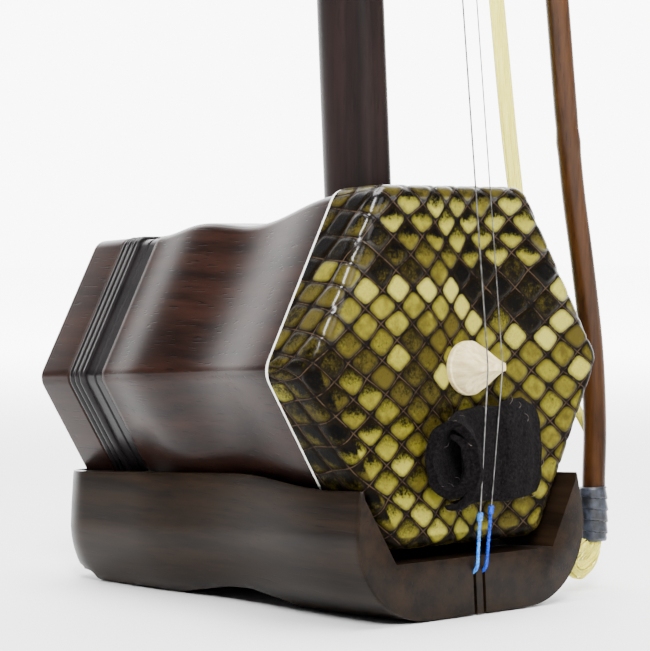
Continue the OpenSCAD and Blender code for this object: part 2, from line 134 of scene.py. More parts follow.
def smoothPath(points, count):
    # a smooth curve through a few points
    points = np.asarray(points, float)
    steps = np.linalg.norm(np.diff(points, axis=0), axis=1) ** 0.5
    knots = np.concatenate([[0], np.cumsum(steps)])
    slopes = np.gradient(points, knots, axis=0)
    out = []
    for t in np.linspace(0, knots[-1], count):
        i = min(np.searchsorted(knots, t, side="right") - 1, len(points) - 2)
        h = knots[i + 1] - knots[i]
        u = (t - knots[i]) / h
        out.append((2 * u**3 - 3 * u**2 + 1) * points[i] + (u**3 - 2 * u**2 + u) * h * slopes[i]
                   + (3 * u**2 - 2 * u**3) * points[i + 1] + (u**3 - u**2) * h * slopes[i + 1])
    return np.array(out)


def lathe(profile, origin, axis, sides=64, wobble=None):
    # profile of (radius, distance along the axis); wobble adds to the radius by (row, angle)
    profile = np.asarray(profile, float)
    axis = unit(axis)
    across = unit(np.cross(axis, (1, 0, 0) if abs(axis[0]) < 0.9 else (0, 1, 0)))
    through = np.cross(axis, across)
    a = np.linspace(0, 2 * np.pi, sides, endpoint=False)
    radius = profile[:, :1] + (wobble(profile[:, 1:], a[None]) if wobble else 0 * a)
    rings = (np.asarray(origin, float) + profile[:, 1][:, None, None] * axis
             + (radius * np.cos(a))[..., None] * across + (radius * np.sin(a))[..., None] * through)
    return loft(rings)


def sector(apothem, corner):
    # a sixth of a rounded hexagon: distance out along the flat's normal, and along the flat
    flat = (apothem - corner) * math.tan(math.pi / 6)
    turn = np.linspace(0, math.pi / 6, 7)[1:]
    right = np.stack([apothem - corner + corner * np.cos(turn), flat + corner * np.sin(turn)], 1)
    middle = np.stack([np.full(15, apothem), np.linspace(-flat, flat, 15)], 1)
    return np.vstack([right[::-1] * (1, -1), middle, right])


def facet(k, outline, y):
    # a sector's points turned to facet k, counting from the top, clockwise from the front
    a = math.radians(60 * k)
    out, side = outline[:, 0], outline[:, 1]
    return np.stack([out * math.sin(a) + side * math.cos(a), np.full(len(out), y),
                     body["axis"] + out * math.cos(a) - side * math.sin(a)], 1)


def hexLoop(apothem, corner, y):
    return np.vstack([facet(k, sector(apothem, corner)[:-1], y) for k in range(6)])


def hexBand(profile, corner):
    # a closed ring whose section is a loop of (y, apothem)
    base = profile[0][1]
    return loft([hexLoop(a, corner + (a - base) * 0.5, y) for y, a in profile], closedRows=True)


def baked(obj):
    # the object with its modifiers worked into a plain mesh
    graph = bpy.context.evaluated_depsgraph_get()
    mesh = bpy.data.meshes.new_from_object(obj.evaluated_get(graph), depsgraph=graph)
    obj.modifiers.clear()
    obj.data = mesh
    return obj


def piece(name, parts, bodyName, nodes, mat, bevel=0, sharp=35, inFrame=False):
    # parts are (points, faces) in the instrument's millimetres, or in metres with inFrame
    points, faces, count = [], [], 0
    for p, f in parts:
        points.append(np.asarray(p) if inFrame else stand(p))
        faces += [tuple(i + count for i in face) for face in f]
        count += len(p)
    mesh = bpy.data.meshes.new(name)
    mesh.from_pydata(np.vstack(points).tolist(), [], faces)
    mesh.update()
    obj = bpy.data.objects.new(name.replace(" ", "_"), mesh)
    bpy.context.scene.collection.objects.link(obj)
    bm = bmesh.new()
    bm.from_mesh(mesh)
    bmesh.ops.recalc_face_normals(bm, faces=bm.faces)
    bm.to_mesh(mesh)
    bm.free()
    if bevel:
        mod = obj.modifiers.new("bevel", "BEVEL")
        mod.width, mod.segments, mod.limit_method = bevel * mm, 3, "ANGLE"
        mod.angle_limit = math.radians(sharp)
        baked(obj)
    return settle(obj, bodyName, nodes, mat, sharp)


def settle(obj, bodyName, nodes, mat, sharp=35):
    # finish, body and the CAD nodes it stands for
    obj.data.materials.clear()
    obj.data.materials.append(mat)
    obj.data.shade_smooth()
    obj.data.set_sharp_from_angle(angle=math.radians(sharp))
    if bodyName:
        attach(obj, bodyName)
    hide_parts(*nodes)
    return obj


print("materials")


class Wire:
    def __init__(self, tree, socket):
        self.tree, self.socket = tree, socket

    def node(self, kind, inputs, out=0, **settings):
        made = self.tree.nodes.new(kind)
        for key, value in settings.items():
            setattr(made, key, value)
        for key, value in inputs.items():
            if isinstance(value, Wire):
                self.tree.links.new(value.socket, made.inputs[key])
            else:
                made.inputs[key].default_value = value
        return Wire(self.tree, made.outputs[out])

    def math(self, operation, *others):
        return self.node("ShaderNodeMath", dict(enumerate((self, *others))), operation=operation)

    def __add__(self, other):
        return self.math("ADD", other)

    def __sub__(self, other):
        return self.math("SUBTRACT", other)

    def __mul__(self, other):
        return self.math("MULTIPLY", other)

    def __truediv__(self, other):
        return self.math("DIVIDE", other)

    def __radd__(self, other):
        return self.math("ADD", other)

    def __rmul__(self, other):
        return self.math("MULTIPLY", other)

    def __rsub__(self, other):
        return (self * -1).math("ADD", other)

    def stretched(self, x, y, z):
        return self.node("ShaderNodeVectorMath", {0: self, 1: (x, y, z)}, operation="MULTIPLY")

    def noise(self, scale, detail=3, rough=0.5):
        return self.node("ShaderNodeTexNoise", {"Vector": self, "Scale": scale, "Detail": detail,
                                                "Roughness": rough})

    def step(self, low, high):
        # 0 below low, 1 above high, smooth between
        return self.node("ShaderNodeMapRange", {"Value": self, "From Min": low, "From Max": high},
                         interpolation_type="SMOOTHSTEP")

    def between(self, first, second):
        # colour from first to second as this goes from 0 to 1
        return self.node("ShaderNodeMix", {"Factor": self, 6: first, 7: second}, out=2,
                         data_type="RGBA")


def linear(r, g, b):
    # colour as it looks on a screen, 0 to 255, to what the shaders take
    values = [c / 255 for c in (r, g, b)]
    return tuple(c / 12.92 if c < 0.04 else ((c + 0.055) / 1.055) ** 2.4 for c in values) + (1,)


def material(name, **values):
    mat = bpy.data.materials.new(name)
    mat.use_nodes = True
    tree = mat.node_tree
    shader = next(n for n in tree.nodes if n.type == "BSDF_PRINCIPLED")
    for key, value in values.items():
        shader.inputs[{"rough": "Roughness", "coat": "Coat Weight", "metal": "Metallic",
                       "coatRough": "Coat Roughness", "color": "Base Color", "sheen": "Sheen Weight",
                       "through": "Subsurface Weight", "ior": "IOR"}[key]].default_value = value
    coords = tree.nodes.new("ShaderNodeTexCoord")
    return mat, shader, Wire(tree, coords.outputs["Object"])


def feed(shader, **wires):
    for key, wire in wires.items():
        name = {"color": "Base Color", "rough": "Roughness", "coat": "Coat Weight"}[key]
        wire.tree.links.new(wire.socket, shader.inputs[name])


def bump(shader, height, distance, strength=1.0):
    made = height.node("ShaderNodeBump", {"Height": height, "Distance": distance,
                                          "Strength": strength}, out="Normal")
    height.tree.links.new(made.socket, shader.inputs["Normal"])


def wood(name, dark, light, grain, rough, coat, pores=0.5):
    # grain is the stretch of the figure along each axis; smaller means longer
    mat, shader, at = material(name, rough=rough, coat=coat, coatRough=0.2, ior=1.2)
    bands = at.stretched(*grain).noise(210, 4, 0.6)
    fine = at.stretched(*grain).noise(900, 3, 0.7)
    tone = (bands * 0.7 + fine * 0.3).step(0.33, 0.68)
    pore = at.stretched(*(g * 1.6 if g > 0.5 else g * 1.8 for g in grain)).noise(1150, 1, 0.3)
    holes = pore.step(0.665, 0.72) * pores
    shade = holes.between(tone.between(linear(*dark), linear(*light)), linear(16, 10, 9))
    feed(shader, color=shade, rough=rough + fine * 0.12)
    bump(shader, fine * 0.3 - holes, 0.00006, 0.5)
    return mat


alongY, alongZ = (1, 0.07, 1), (1, 1, 0.05)
bodyWood = wood("bodyWood", (18, 10, 8), (40, 23, 17), alongY, 0.25, 0.0, 0.8)
neckWood = wood("neckWood", (13, 8, 8), (30, 19, 17), alongZ, 0.4, 0.0, 0.6)
baseWood = wood("baseWood", (13, 8, 5), (34, 23, 13), alongY, 0.3, 0.0, 0.5)
blackWood = wood("blackWood", (10, 8, 9), (22, 18, 19), alongY, 0.34, 0.2, 0.3)
stickWood = wood("stickWood", (26, 12, 4), (66, 38, 12), alongZ, 0.34, 0.1, 0.5)
windowWood = wood("windowWood", (70, 40, 26), (110, 70, 44), (1, 1, 1), 0.5, 0.1, 0.3)


def speckled(name, scale, detail, dark, light, low=0.3, high=0.7, **values):
    # a finish that wanders between two colours
    mat, shader, at = material(name, **values)
    feed(shader, color=at.noise(scale, detail).step(low, high).between(linear(*dark), linear(*light)))
    return mat


bone = speckled("bone", 260, 4, (226, 218, 198), (242, 237, 224), rough=0.38, coat=0.2, through=0.05)

lining = speckled("lining", 700, 3, (222, 220, 208), (246, 246, 240), low=0.35, high=0.65, rough=0.45)

maple, shader, at = material("maple", rough=0.5, coat=0.05, ior=1.3)
grain = at.stretched(1, 0.15, 1).noise(650, 4, 0.6).step(0.3, 0.7)
feed(shader, color=grain.between(linear(196, 174, 122), linear(234, 218, 168)))
bump(shader, grain, 0.00004, 0.4)

felt, shader, at = material("felt", rough=1.0, sheen=0.02, ior=1.04)
feed(shader, color=at.noise(1400, 4, 0.7).step(0.35, 0.7).between(linear(6, 5, 5), linear(26, 23, 24)))
bump(shader, at.noise(1300, 5, 0.8), 0.0008, 1.0)

woolFibre = speckled("woolFibre", 900, 2, (46, 40, 40), (128, 118, 114), rough=0.9, ior=1.2)

steel, shader, at = material("steel", rough=0.26, metal=1.0)
feed(shader, color=at.noise(500, 2).step(0.3, 0.7).between(linear(118, 118, 120), linear(176, 176, 178)),
     rough=at.noise(900, 3).step(0.2, 0.8) * 0.14 + 0.2)

stringSteel = speckled("stringSteel", 700, 2, (74, 73, 72), (122, 121, 120), rough=0.36, metal=1.0)

brass = speckled("brass", 500, 2, (176, 132, 62), (214, 172, 96), rough=0.3, metal=1.0)

ferruleMetal = speckled("ferruleMetal", 400, 3, (190, 188, 182), (222, 220, 214), rough=0.32, metal=1.0)


def thread(name, dark, light, rough=0.6):
    return speckled(name, 1600, 3, dark, light, rough=rough, ior=1.2)


silkLight = thread("silkLight", (12, 88, 205), (60, 156, 240))
silkDark = thread("silkDark", (8, 36, 140), (30, 82, 200))
redThread = thread("redThread", (150, 18, 20), (212, 44, 40))
gripThread = thread("gripThread", (18, 18, 20), (44, 44, 48), 0.55)

horsehair, shader, at = material("horsehair", rough=0.5, ior=1.3)
strand = at.stretched(1, 1, 0.02).noise(2600, 3, 0.7).step(0.3, 0.7)
feed(shader, color=strand.between(linear(218, 206, 72), linear(244, 238, 124)))

tape, shader, at = material("tape", rough=0.44, coat=0.15)
patchy = at.noise(420, 4, 0.6).step(0.35, 0.7)
feed(shader, color=patchy.between(linear(14, 16, 21), linear(48, 53, 64)))
bump(shader, at.noise(1500, 3), 0.0001, 0.6)

skinMat, shader, at = material("snakeskin", rough=0.34, coat=0.05, coatRough=0.2, ior=1.1)
cells = at.node("ShaderNodeUVMap", {}, uv_map="scales")
split = cells.node("ShaderNodeSeparateXYZ", {0: cells})
p, q = split, Wire(split.tree, split.socket.node.outputs[1])
fp, fq = p.math("FRACT"), q.math("FRACT")
toneNode = at.node("ShaderNodeAttribute", {}, attribute_name="tone")
toneSplit = toneNode.node("ShaderNodeSeparateColor", {0: toneNode})
yellow, dark, tip = (Wire(at.tree, toneSplit.socket.node.outputs[i]) for i in range(3))
edgeGloss = Wire(at.tree, toneNode.socket.node.outputs["Alpha"])
speck, cloud = at.noise(1500, 4, 0.75), at.noise(330, 3, 0.6)
across, up = (fp * 2 - 1).math("ABSOLUTE"), (fq * 2 - 1).math("ABSOLUTE")
rounded = 1 - (across.math("POWER", 4.0) + up.math("POWER", 4.0)).math("POWER", 0.25)
line = 1 - across.math("MAXIMUM", up)
high = fp - fq  # 1 at the top point of a scale, -1 at its lower point
inside = rounded + (speck - 0.5) * 0.1
darkness = (dark + tip * high.step(-0.55, 0.5) * 1.05 + (speck - 0.5) * 1.1
            + (cloud - 0.5) * 0.9).step(0.32, 0.92)
warm = (yellow + (cloud - 0.5) * 0.7).step(0.3, 0.9)
ground = warm.between(linear(66, 58, 18), linear(132, 126, 38))
pale = ((speck * 0.5 + yellow * 0.6).step(0.62, 0.9) * 0.7)
ground = pale.between(ground, linear(168, 162, 74))
scale = darkness.between(ground, (speck + cloud * 0.6).step(0.7, 1.2).between(linear(1, 1, 1),
                                                                           linear(16, 11, 7)))
shadow = (1 - inside.step(0.1, 0.45)) * 0.65
scale = shadow.between(scale, linear(20, 15, 5))
seam = 1 - inside.step(0.07, 0.16)
lightLine = (1 - line.step(0.01, 0.07)) * (cloud + speck * 0.4).step(0.55, 0.8)
band = lightLine.between(linear(10, 7, 5), linear(62, 48, 34))
feed(shader, color=seam.between(scale, band), rough=0.3 + seam * 0.15 + speck * 0.12,
     coat=edgeGloss * 0.65)
bump(shader, speck * 0.5 + at.noise(3200, 2) * 0.3 + inside.step(0, 0.35) * 1.2, 0.00016, 0.8)

for name, mat in {"sound_window": windowWood, "base_bolt": steel, "foot_plug": blackWood,
                  "tail_pin": brass, "frog_eyelet": brass, "bow_screw": steel}.items():
    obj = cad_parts[name]
    obj.data.materials.clear()
    obj.data.materials.append(mat)
    for polygon in obj.data.polygons:
        polygon.material_index = 0

print("geometry nodes")


def strandGroup():
    # threads side by side or twisted round a path, whose points carry two half-widths across it
    tree = bpy.data.node_groups.new("strands", "GeometryNodeTree")
    face = tree.interface
    face.new_socket("Geometry", in_out="INPUT", socket_type="NodeSocketGeometry")
    kinds = {"Amount": "Int", "Thickness": "Float", "Turns": "Float", "Spread": "Float",
             "Loose": "Float", "Sides": "Int", "Seed": "Int", "Material": "Material"}
    for name, kind in kinds.items():
        face.new_socket(name, in_out="INPUT", socket_type="NodeSocket" + kind)
    face.new_socket("Geometry", in_out="OUTPUT", socket_type="NodeSocketGeometry")
    start, end = tree.nodes.new("NodeGroupInput"), tree.nodes.new("NodeGroupOutput")
    given = {s.name: Wire(tree, s) for s in start.outputs if s.name}
    root = given["Geometry"]

    def node(kind, inputs, out=0, **settings):
        return root.node(kind, inputs, out, **settings)

    def named(name):
        return node("GeometryNodeInputNamedAttribute", {"Name": name}, data_type="FLOAT_VECTOR")

    def scaled(vector, factor):
        made = node("ShaderNodeVectorMath", {0: vector}, operation="SCALE")
        tree.links.new(factor.socket, made.socket.node.inputs["Scale"])
        return made

    curve = node("GeometryNodeMeshToCurve", {0: root})
    copies = node("GeometryNodeDuplicateElements", {"Geometry": curve, "Amount": given["Amount"]},
                  domain="SPLINE")
    index = Wire(tree, copies.socket.node.outputs[1])
    along = node("GeometryNodeSplineParameter", {})
    even = index / given["Amount"]
    rolls = []
    for extra in (0, 31):
        chance = node("FunctionNodeRandomValue", {"ID": index, "Seed": given["Seed"] + extra},
                      out=1, data_type="FLOAT")
        rolls.append(chance)
    turn = (even + rolls[0] * given["Spread"] + given["Turns"] * along) * (2 * math.pi)
    reach = 1 - given["Spread"] * (1 - rolls[1].math("SQRT"))
    wave = node("ShaderNodeTexNoise", {"W": index * 3.7 + along * 5, "Scale": 1.0, "Detail": 1.0},
                noise_dimensions="1D")
    side = turn.math("COSINE") * reach + (wave - 0.5) * given["Loose"]
    deep = turn.math("SINE") * reach
    moved = node("ShaderNodeVectorMath", {0: scaled(named("across"), side),
                                          1: scaled(named("through"), deep)}, operation="ADD")
    placed = node("GeometryNodeSetPosition", {"Geometry": copies, "Offset": moved})
    ring = node("GeometryNodeCurvePrimitiveCircle", {"Resolution": given["Sides"],
                                                     "Radius": given["Thickness"]})
    tube = node("GeometryNodeCurveToMesh", {"Curve": placed, "Profile Curve": ring,
                                            "Fill Caps": True})
    real = node("GeometryNodeRealizeInstances", {"Geometry": tube})
    final = node("GeometryNodeSetMaterial", {"Geometry": real, "Material": given["Material"]})
    tree.links.new(final.socket, end.inputs["Geometry"])
    return tree


strandTree = strandGroup()


plainThread = {"Amount": 1, "Turns": 0.0, "Spread": 0.0, "Loose": 0.0, "Sides": 8, "Seed": 1}


def strands(name, path, across, through, values, mat):
    # path in the instrument's millimetres; across and through are half-widths with direction
    points = stand(path)
    turnOnly = leanArray[:3, :3]
    mesh = bpy.data.meshes.new(name)
    mesh.from_pydata(points.tolist(), [(i, i + 1) for i in range(len(points) - 1)], [])
    for key, vectors in (("across", across), ("through", through)):
        layer = mesh.attributes.new(key, "FLOAT_VECTOR", "POINT")
        vectors = np.broadcast_to(np.asarray(vectors, float), points.shape)
        layer.data.foreach_set("vector", ((vectors @ turnOnly.T) * mm).astype(np.float32).ravel())
    obj = bpy.data.objects.new(name.replace(" ", "_"), mesh)
    bpy.context.scene.collection.objects.link(obj)
    mod = obj.modifiers.new("strands", "NODES")
    mod.node_group = strandTree
    sockets = {s.name: s.identifier for s in strandTree.interface.items_tree
               if s.item_type == "SOCKET" and s.in_out == "INPUT"}
    for key, value in {**plainThread, **values, "Material": mat}.items():
        mod[sockets[key]] = value
    baked(obj)
    for layer in [a for a in obj.data.attributes if a.name in ("across", "through")]:
        obj.data.attributes.remove(layer)
    return obj


def joined(first, *others):
    # several meshes in one object, each keeping its place
    bm = bmesh.new()
    for o in (first, *others):
        bm.from_mesh(o.data)
    bm.to_mesh(first.data)
    bm.free()
    for o in others:
        bpy.data.objects.remove(o)
    return first


print("wooden body")
waves = {"wood": 43.6, "wrap": 15.8, "waist": (55, 38.1), "hump": (74, 39.8), "tail": (94.4, 37.6)}


def wave(d):
    (d1, a1), (d2, a2), (d3, a3) = waves["waist"], waves["hump"], waves["tail"]
    if d < waves["wrap"]:
        return waves["wood"]
    if d < d1:
        return waves["wood"] + (a1 - waves["wood"]) * ease((d - waves["wrap"]) / (d1 - waves["wrap"]))
    if d < d2:
        return a1 + (a2 - a1) * ease((d - d1) / (d2 - d1))
    return a2 + (a3 - a2) * ease((d - d2) / (d3 - d2))


stave = {"corner": 4.0, "inner": 32.5, "core": 35.0, "seam": 0.05, "chamfer": 0.8}
staveNames = ["stave_top", "stave_upper_right", "stave_lower_right", "stave_bottom",
              "stave_lower_left", "stave_upper_left"]
for k, name in enumerate(staveNames):
    rings = []
    stations = [1.0] + list(np.linspace(15, 93.6, 60)) + [94.2, 94.4]
    for d in stations:
        a = wave(d) - (0 if d < 94 else 0.35 if d < 94.3 else stave["chamfer"])
        outer = sector(a, stave["corner"])
        outer[[0, -1], 0] -= stave["seam"]
        inner = sector(stave["inner"] if d < 20 else stave["core"] - 0.2, 0.5)[::3]
        rings.append(facet(k, np.vstack([outer, inner[::-1] * (1, 0.995)]), body["skin"] + d))
    piece(name.replace("_", " ") + " wood", [loft(rings)], "instrument", [name], bodyWood,
          sharp=50)

print("rear beads and collar")
rear = {"ledge": 58.4, "bead": 65.8, "collar": 72.6, "band": 37.0, "inner": 35.05, "radius": 1.1}
outline = [(rear["ledge"], rear["inner"]), (rear["ledge"], rear["band"] - 0.3),
           (rear["ledge"] + 0.3, rear["band"]), (rear["ledge"] + 2.6, rear["band"]),
           (rear["ledge"] + 2.9, rear["band"] - 0.5), (rear["ledge"] + 3.3, rear["band"] - 0.5),
           (rear["ledge"] + 3.6, rear["band"]), (rear["bead"] - 0.2, rear["band"])]
for n in range(3):
    for a in np.radians(np.linspace(170, 10, 9)):
        outline.append((rear["bead"] + rear["radius"] * (1 + 2 * n + np.cos(a)),
                        rear["band"] - 0.25 + rear["radius"] * 1.15 * np.sin(a)))
outline += [(rear["collar"], rear["band"]), (rear["collar"], rear["inner"])]
piece("bead ring wood", [hexBand(outline, 3.0)], "instrument", ["bead_ring"], blackWood)
collar = {"flat": 37.8, "back": 86.3, "round": 1.6}
outline = [(rear["collar"], rear["inner"]), (rear["collar"], collar["flat"] - 0.4),
           (rear["collar"] + 0.4, collar["flat"])]
for a in np.radians(np.linspace(90, 0, 8)):
    outline.append((collar["back"] - collar["round"] * (1 - np.cos(a)),
                    collar["flat"] - collar["round"] * (1 - np.sin(a))))
outline.append((collar["back"], rear["inner"]))
piece("rear collar wood", [hexBand(outline, 3.2)], "instrument", ["rear_collar"], bodyWood)

print("snakeskin")
skin = {"apothem": 45.0, "edge": 3.3, "wrap": 15.8, "corner": 5.0, "sides": 606, "thick": 0.75,
        "relief": 0.35, "shrink": 1.0}
# places on the skin, across and up from its middle, with reach, yellow, dark and dark-topped
patches = {
    "top dark": [(-20, 38, 6, 0.8, 0, 0.8), (-12, 36, 6, 0.8, 0, 0.8), (-3, 38, 6, 0.85, 0, 0.8),
                 (5, 35, 6, 0.75, 0, 0.85), (14, 34, 6, 0.75, 0, 0.85), (21, 38, 6, 0.75, 0, 0.8),
                 (20, 31, 5, 0.7, 0.05, 0.95), (26, 34, 5, 0.7, 0.1, 0.9), (-7, 30, 5, 0.7, 0.1, 1),
                 (4, 28, 4, 0.6, 0.2, 1), (14, 27, 4, 0.75, 0, 0.9), (25, 27, 4, 0.75, 0, 1),
                 (-20, 32, 5, 0.3, 0.5, 1), (-28, 40, 6, 0.4, 0.3, 0.8)],
    "black": [(-26, 27, 5, 0, 1, 0), (-17, 27, 4, 0, 0.95, 0), (-12, 24, 3, 0, 1, 0), (-1, 23, 4, 0, 1, 0),
              (8, 23, 4, 0, 1, 0), (4, 18, 3, 0, 1, 0), (9, 14, 3, 0, 1, 0), (14, 18, 4, 0, 1, 0),
              (19, 22, 4, 0, 0.9, 0), (19, 14, 4, 0, 1, 0), (25, 19, 4, 0, 1, 0), (25, 10, 3, 0, 1, 0),
              (31, 22, 4, 0, 1, 0), (31, 14, 3, 0, 1, 0), (-38, 30, 4, 0, 0.9, 0), (-40, 38, 6, 0, 1, 0),
              (-34, 44, 5, 0, 0.9, 0), (-46, 33, 5, 0, 1, 0)],
    "yellow": [(-33, 20, 3, 1, 0, 0), (-22, 19, 3, 1, 0, 0), (-11, 19, 3, 1, 0, 0), (-3, 19, 3, 1, 0, 0),
               (0, 14, 3, 1, 0, 0), (4, 10, 3, 0.95, 0, 0), (19, 6, 3, 1, 0, 0), (31, 6, 3, 0.95, 0, 0),
               (37, 19, 3, 1, 0, 0), (37, 10, 3, 0.85, 0.05, 0), (-22, 4, 3, 1, 0, 0), (-7, -3, 3, 0.9, 0, 0),
               (43, -3, 3, 1, 0, 0), (-44, 25, 4, 1, 0, 0), (-58, -10, 4, 1, 0, 0.2), (-3, 3, 3, 0.8, 0, 0)],
    "olive": [(-28, 15, 3, 0.6, 0.05, 0), (-17, 15, 3, 0.65, 0.05, 0), (-7, 14, 3, 0.6, 0.05, 0),
              (-39, 13, 4, 0.45, 0.25, 0), (-22, 10, 3, 0.55, 0.1, 0), (-12, 9, 3, 0.6, 0.1, 0),
              (8, 5, 3, 0.6, 0.1, 0), (14, 1, 3, 0.5, 0.2, 0), (25, 2, 3, 0.6, 0.15, 0),
              (36, 1, 3, 0.5, 0.25, 0), (43, 6, 3, 0.4, 0.35, 0), (20, -3, 4, 0.55, 0.15, 0),
              (30, -3, 4, 0.5, 0.2, 0), (25, -8, 4, 0.65, 0.1, 0), (36, -8, 4, 0.5, 0.2, 0),
              (36, -18, 6, 0.55, 0.15, 0), (24, -18, 6, 0.55, 0.2, 0), (20, -32, 8, 0.6, 0.1, 0.5),
              (-49, 16, 6, 0.35, 0.35, 0), (-33, 11, 3, 0.5, 0.2, 0)],
    "dark": [(-43, 2, 5, 0.1, 0.7, 0), (-33, 3, 3, 0.1, 0.75, 0), (-27, 6, 2, 0.4, 0.4, 0),
             (-17, 3, 3, 0.1, 0.8, 0), (-12, -1, 3, 0.1, 0.8, 0), (-52, 2, 6, 0.2, 0.6, 0),
             (-27, -2, 4, 0.3, 0.5, 0), (-17, -6, 4, 0.1, 0.8, 0), (-8, -10, 5, 0.1, 0.8, 0),
             (-42, -12, 4, 0.2, 0.6, 0.5)],
    "half": [(-36, -8, 5, 0.75, 0.05, 0.8), (-33, -20, 6, 0.75, 0.05, 0.8), (-24, -34, 7, 0.75, 0.05, 0.7),
             (-12, -38, 7, 0.8, 0, 0.6), (-22, -14, 5, 0.75, 0.05, 0.8), (-45, -22, 6, 0.6, 0.2, 0.8),
             (0, -41, 6, 0.8, 0, 0.5), (-22, -24, 5, 0.75, 0.05, 0.8)],
}
patchRows = np.array([row for rows in patches.values() for row in rows], float)
rows, spots = [], []  # each ring of points, and where it lies on the flattened skin
per = skin["sides"] // 6
k = np.arange(6).repeat(per)
t = np.tile(np.linspace(-1, 1, per, endpoint=False), 6)


def hexPoint(apothem, corner):
    # evenly spaced points round the rounded hexagon, and the direction each one faces
    flat = (apothem - corner) * math.tan(math.pi / 6)
    half = flat + corner * math.pi / 6
    s = t * half
    over = np.clip(np.abs(s) - flat, 0, None)
    turn = np.sign(s) * (over / corner if corner > 0.01 else 0 * over)
    out = apothem - corner + corner * np.cos(turn)
    side = np.clip(s, -flat, flat) + corner * np.sin(turn)
    a = np.radians(60.0 * k)
    facing = a + turn
    return (np.stack([out * np.sin(a) + side * np.cos(a), out * np.cos(a) - side * np.sin(a)], 1),
            np.stack([np.sin(facing), np.cos(facing)], 1))


rim, rimFacing = hexPoint(skin["apothem"] - skin["edge"], skin["corner"] - skin["edge"] * 0.6)
flatRings = 62
normals = []
for i in range(1, flatRings + 1):
    f = i / flatRings
    rows.append(np.insert(rim * f, 1, body["skin"], axis=1))
    spots.append(rim * f)
    normals.append(np.tile((0, -1.0, 0), (len(rim), 1)))
for a in np.radians(np.linspace(0, 90, 9))[1:]:
    p = rim + rimFacing * skin["edge"] * np.sin(a)
    rows.append(np.insert(p, 1, body["skin"] + skin["edge"] * (1 - np.cos(a)), axis=1))
    spots.append(rim + rimFacing * skin["edge"] * a)
    normals.append(np.insert(rimFacing * np.sin(a), 1, -np.cos(a), axis=1))
for d in np.linspace(skin["edge"], skin["wrap"] - 0.1, 24)[1:]:
    rows.append(np.insert(rim + rimFacing * skin["edge"], 1, body["skin"] + d, axis=1))
    spots.append(rim + rimFacing * (skin["edge"] * math.pi / 2 + (d - skin["edge"]) * skin["shrink"]))
    normals.append(np.insert(rimFacing, 1, 0, axis=1))
rows, spots, normals = np.array(rows), np.array(spots), np.array(normals)


# where the columns of scales lie across the skin, each half a scale on from the last
columns = [-32.5, -27, -21.7, -16.5, -11.5, -7, -3.4, 0.3, 4.3, 8.8, 13.9, 19.5, 25.3, 31.2, 37.1, 43.3]
rowGap, rowStart = 4.28, 1.72


def scaleCells(spot):
    # two slanting coordinates whose whole numbers are the lines between the scales
    x, z = spot[..., 0], spot[..., 1]
    x, z = (x + 0.5 * np.sin(z * 0.21 + 0.7) + 0.25 * np.sin(z * 0.47 + x * 0.13),
            z + 0.4 * np.sin(x * 0.17 + 1.9) + 0.2 * np.sin(x * 0.41 + z * 0.3))
    column = np.interp(x, columns, np.arange(16)) + np.minimum(x + 32.5, 0) / 5.5 + np.maximum(x - 43.3, 0) / 6
    row = (z - rowStart) / rowGap
    return (column + row) / 2 + 40.5, (column - row) / 2 + 40.5


p, q = scaleCells(spots)
fp, fq = p % 1, q % 1
rounded = 1 - ((2 * fp - 1) ** 4 + (2 * fq - 1) ** 4) ** 0.25
lift = np.clip(rounded / 0.3, 0, 1) ** 0.6 * 0.75 + 0.25 * (1 - (fp - fq)) / 2 * np.clip(rounded / 0.2, 0, 1)
fade = np.ones(len(rows))[:, None]
fade[-1] = 0
rows += normals * ((lift - 0.75) * skin["relief"] * fade)[..., None]
# the middle of the scale that each point belongs to
column, row = np.floor(p) + np.floor(q) - 80, np.floor(p) - np.floor(q)
centre = np.stack([np.interp(column, np.arange(16), columns) + np.minimum(column, 0) * 5.5
                   + np.maximum(column - 15, 0) * 6, row * rowGap + rowStart], -1)
gap = np.linalg.norm(centre[:, :, None] - patchRows[:, :2], axis=-1)
weight = np.exp(-(gap / patchRows[:, 2]) ** 2 * 2.2)
cellRoll = np.sin(np.floor(p) * 12.99 + np.floor(q) * 78.23) * 43758.5453 % 1
tone = np.zeros(rows.shape)
for c, default in enumerate((0.45, 0.3, 0.25)):
    tone[..., c] = (weight @ patchRows[:, 3 + c] + 0.12 * default) / (weight.sum(-1) + 0.12)
tone[..., 0] += (cellRoll - 0.5) * 0.3
tone[..., 1] += (cellRoll * 7 % 1 - 0.5) * 0.3
beyond = np.arange(len(rows)) >= flatRings  # past the flat front, round the edge and back
tone[beyond, :, 0] -= 0.2
tone[beyond, :, 1] += 0.12 + 0.25 * (spots[beyond, :, 1] < 6)
edgeRing = np.exp(-((np.arange(len(rows)) - flatRings - 4) / 7.0) ** 2)
nearEdge = edgeRing[:, None] * ease((spots[..., 1] - 2) / 12)  # the glossy rounding, upper half only
inner = rows[-1].copy()
hub = np.array([[0, body["skin"], 0]])
lip = [inner - normals[-1] * skin["thick"],
       np.insert(rim + rimFacing * (skin["edge"] - 1.3), 1, body["skin"] + 1, axis=1)]
cols = skin["sides"]
points = np.vstack([rows.reshape(-1, 3), *lip, hub])
points[:, 2] += body["axis"]
allFaces = gridFaces(len(rows) + 2, cols)
allFaces += [(len(points) - 1, (c + 1) % cols, c) for c in range(cols)]
skinObj = piece("snakeskin membrane", [(points, allFaces)], "instrument", ["snakeskin"], skinMat,
                sharp=80)
cellUv = np.stack([p, q], -1).reshape(-1, 2)
cellUv = np.vstack([cellUv, cellUv[-cols:], cellUv[-cols:], np.array(scaleCells(np.zeros((1, 2)))).T])
layer = skinObj.data.uv_layers.new(name="scales")
corners = np.zeros(len(skinObj.data.loops), int)
skinObj.data.loops.foreach_get("vertex_index", corners)
layer.data.foreach_set("uv", cellUv[corners].astype(np.float32).ravel())
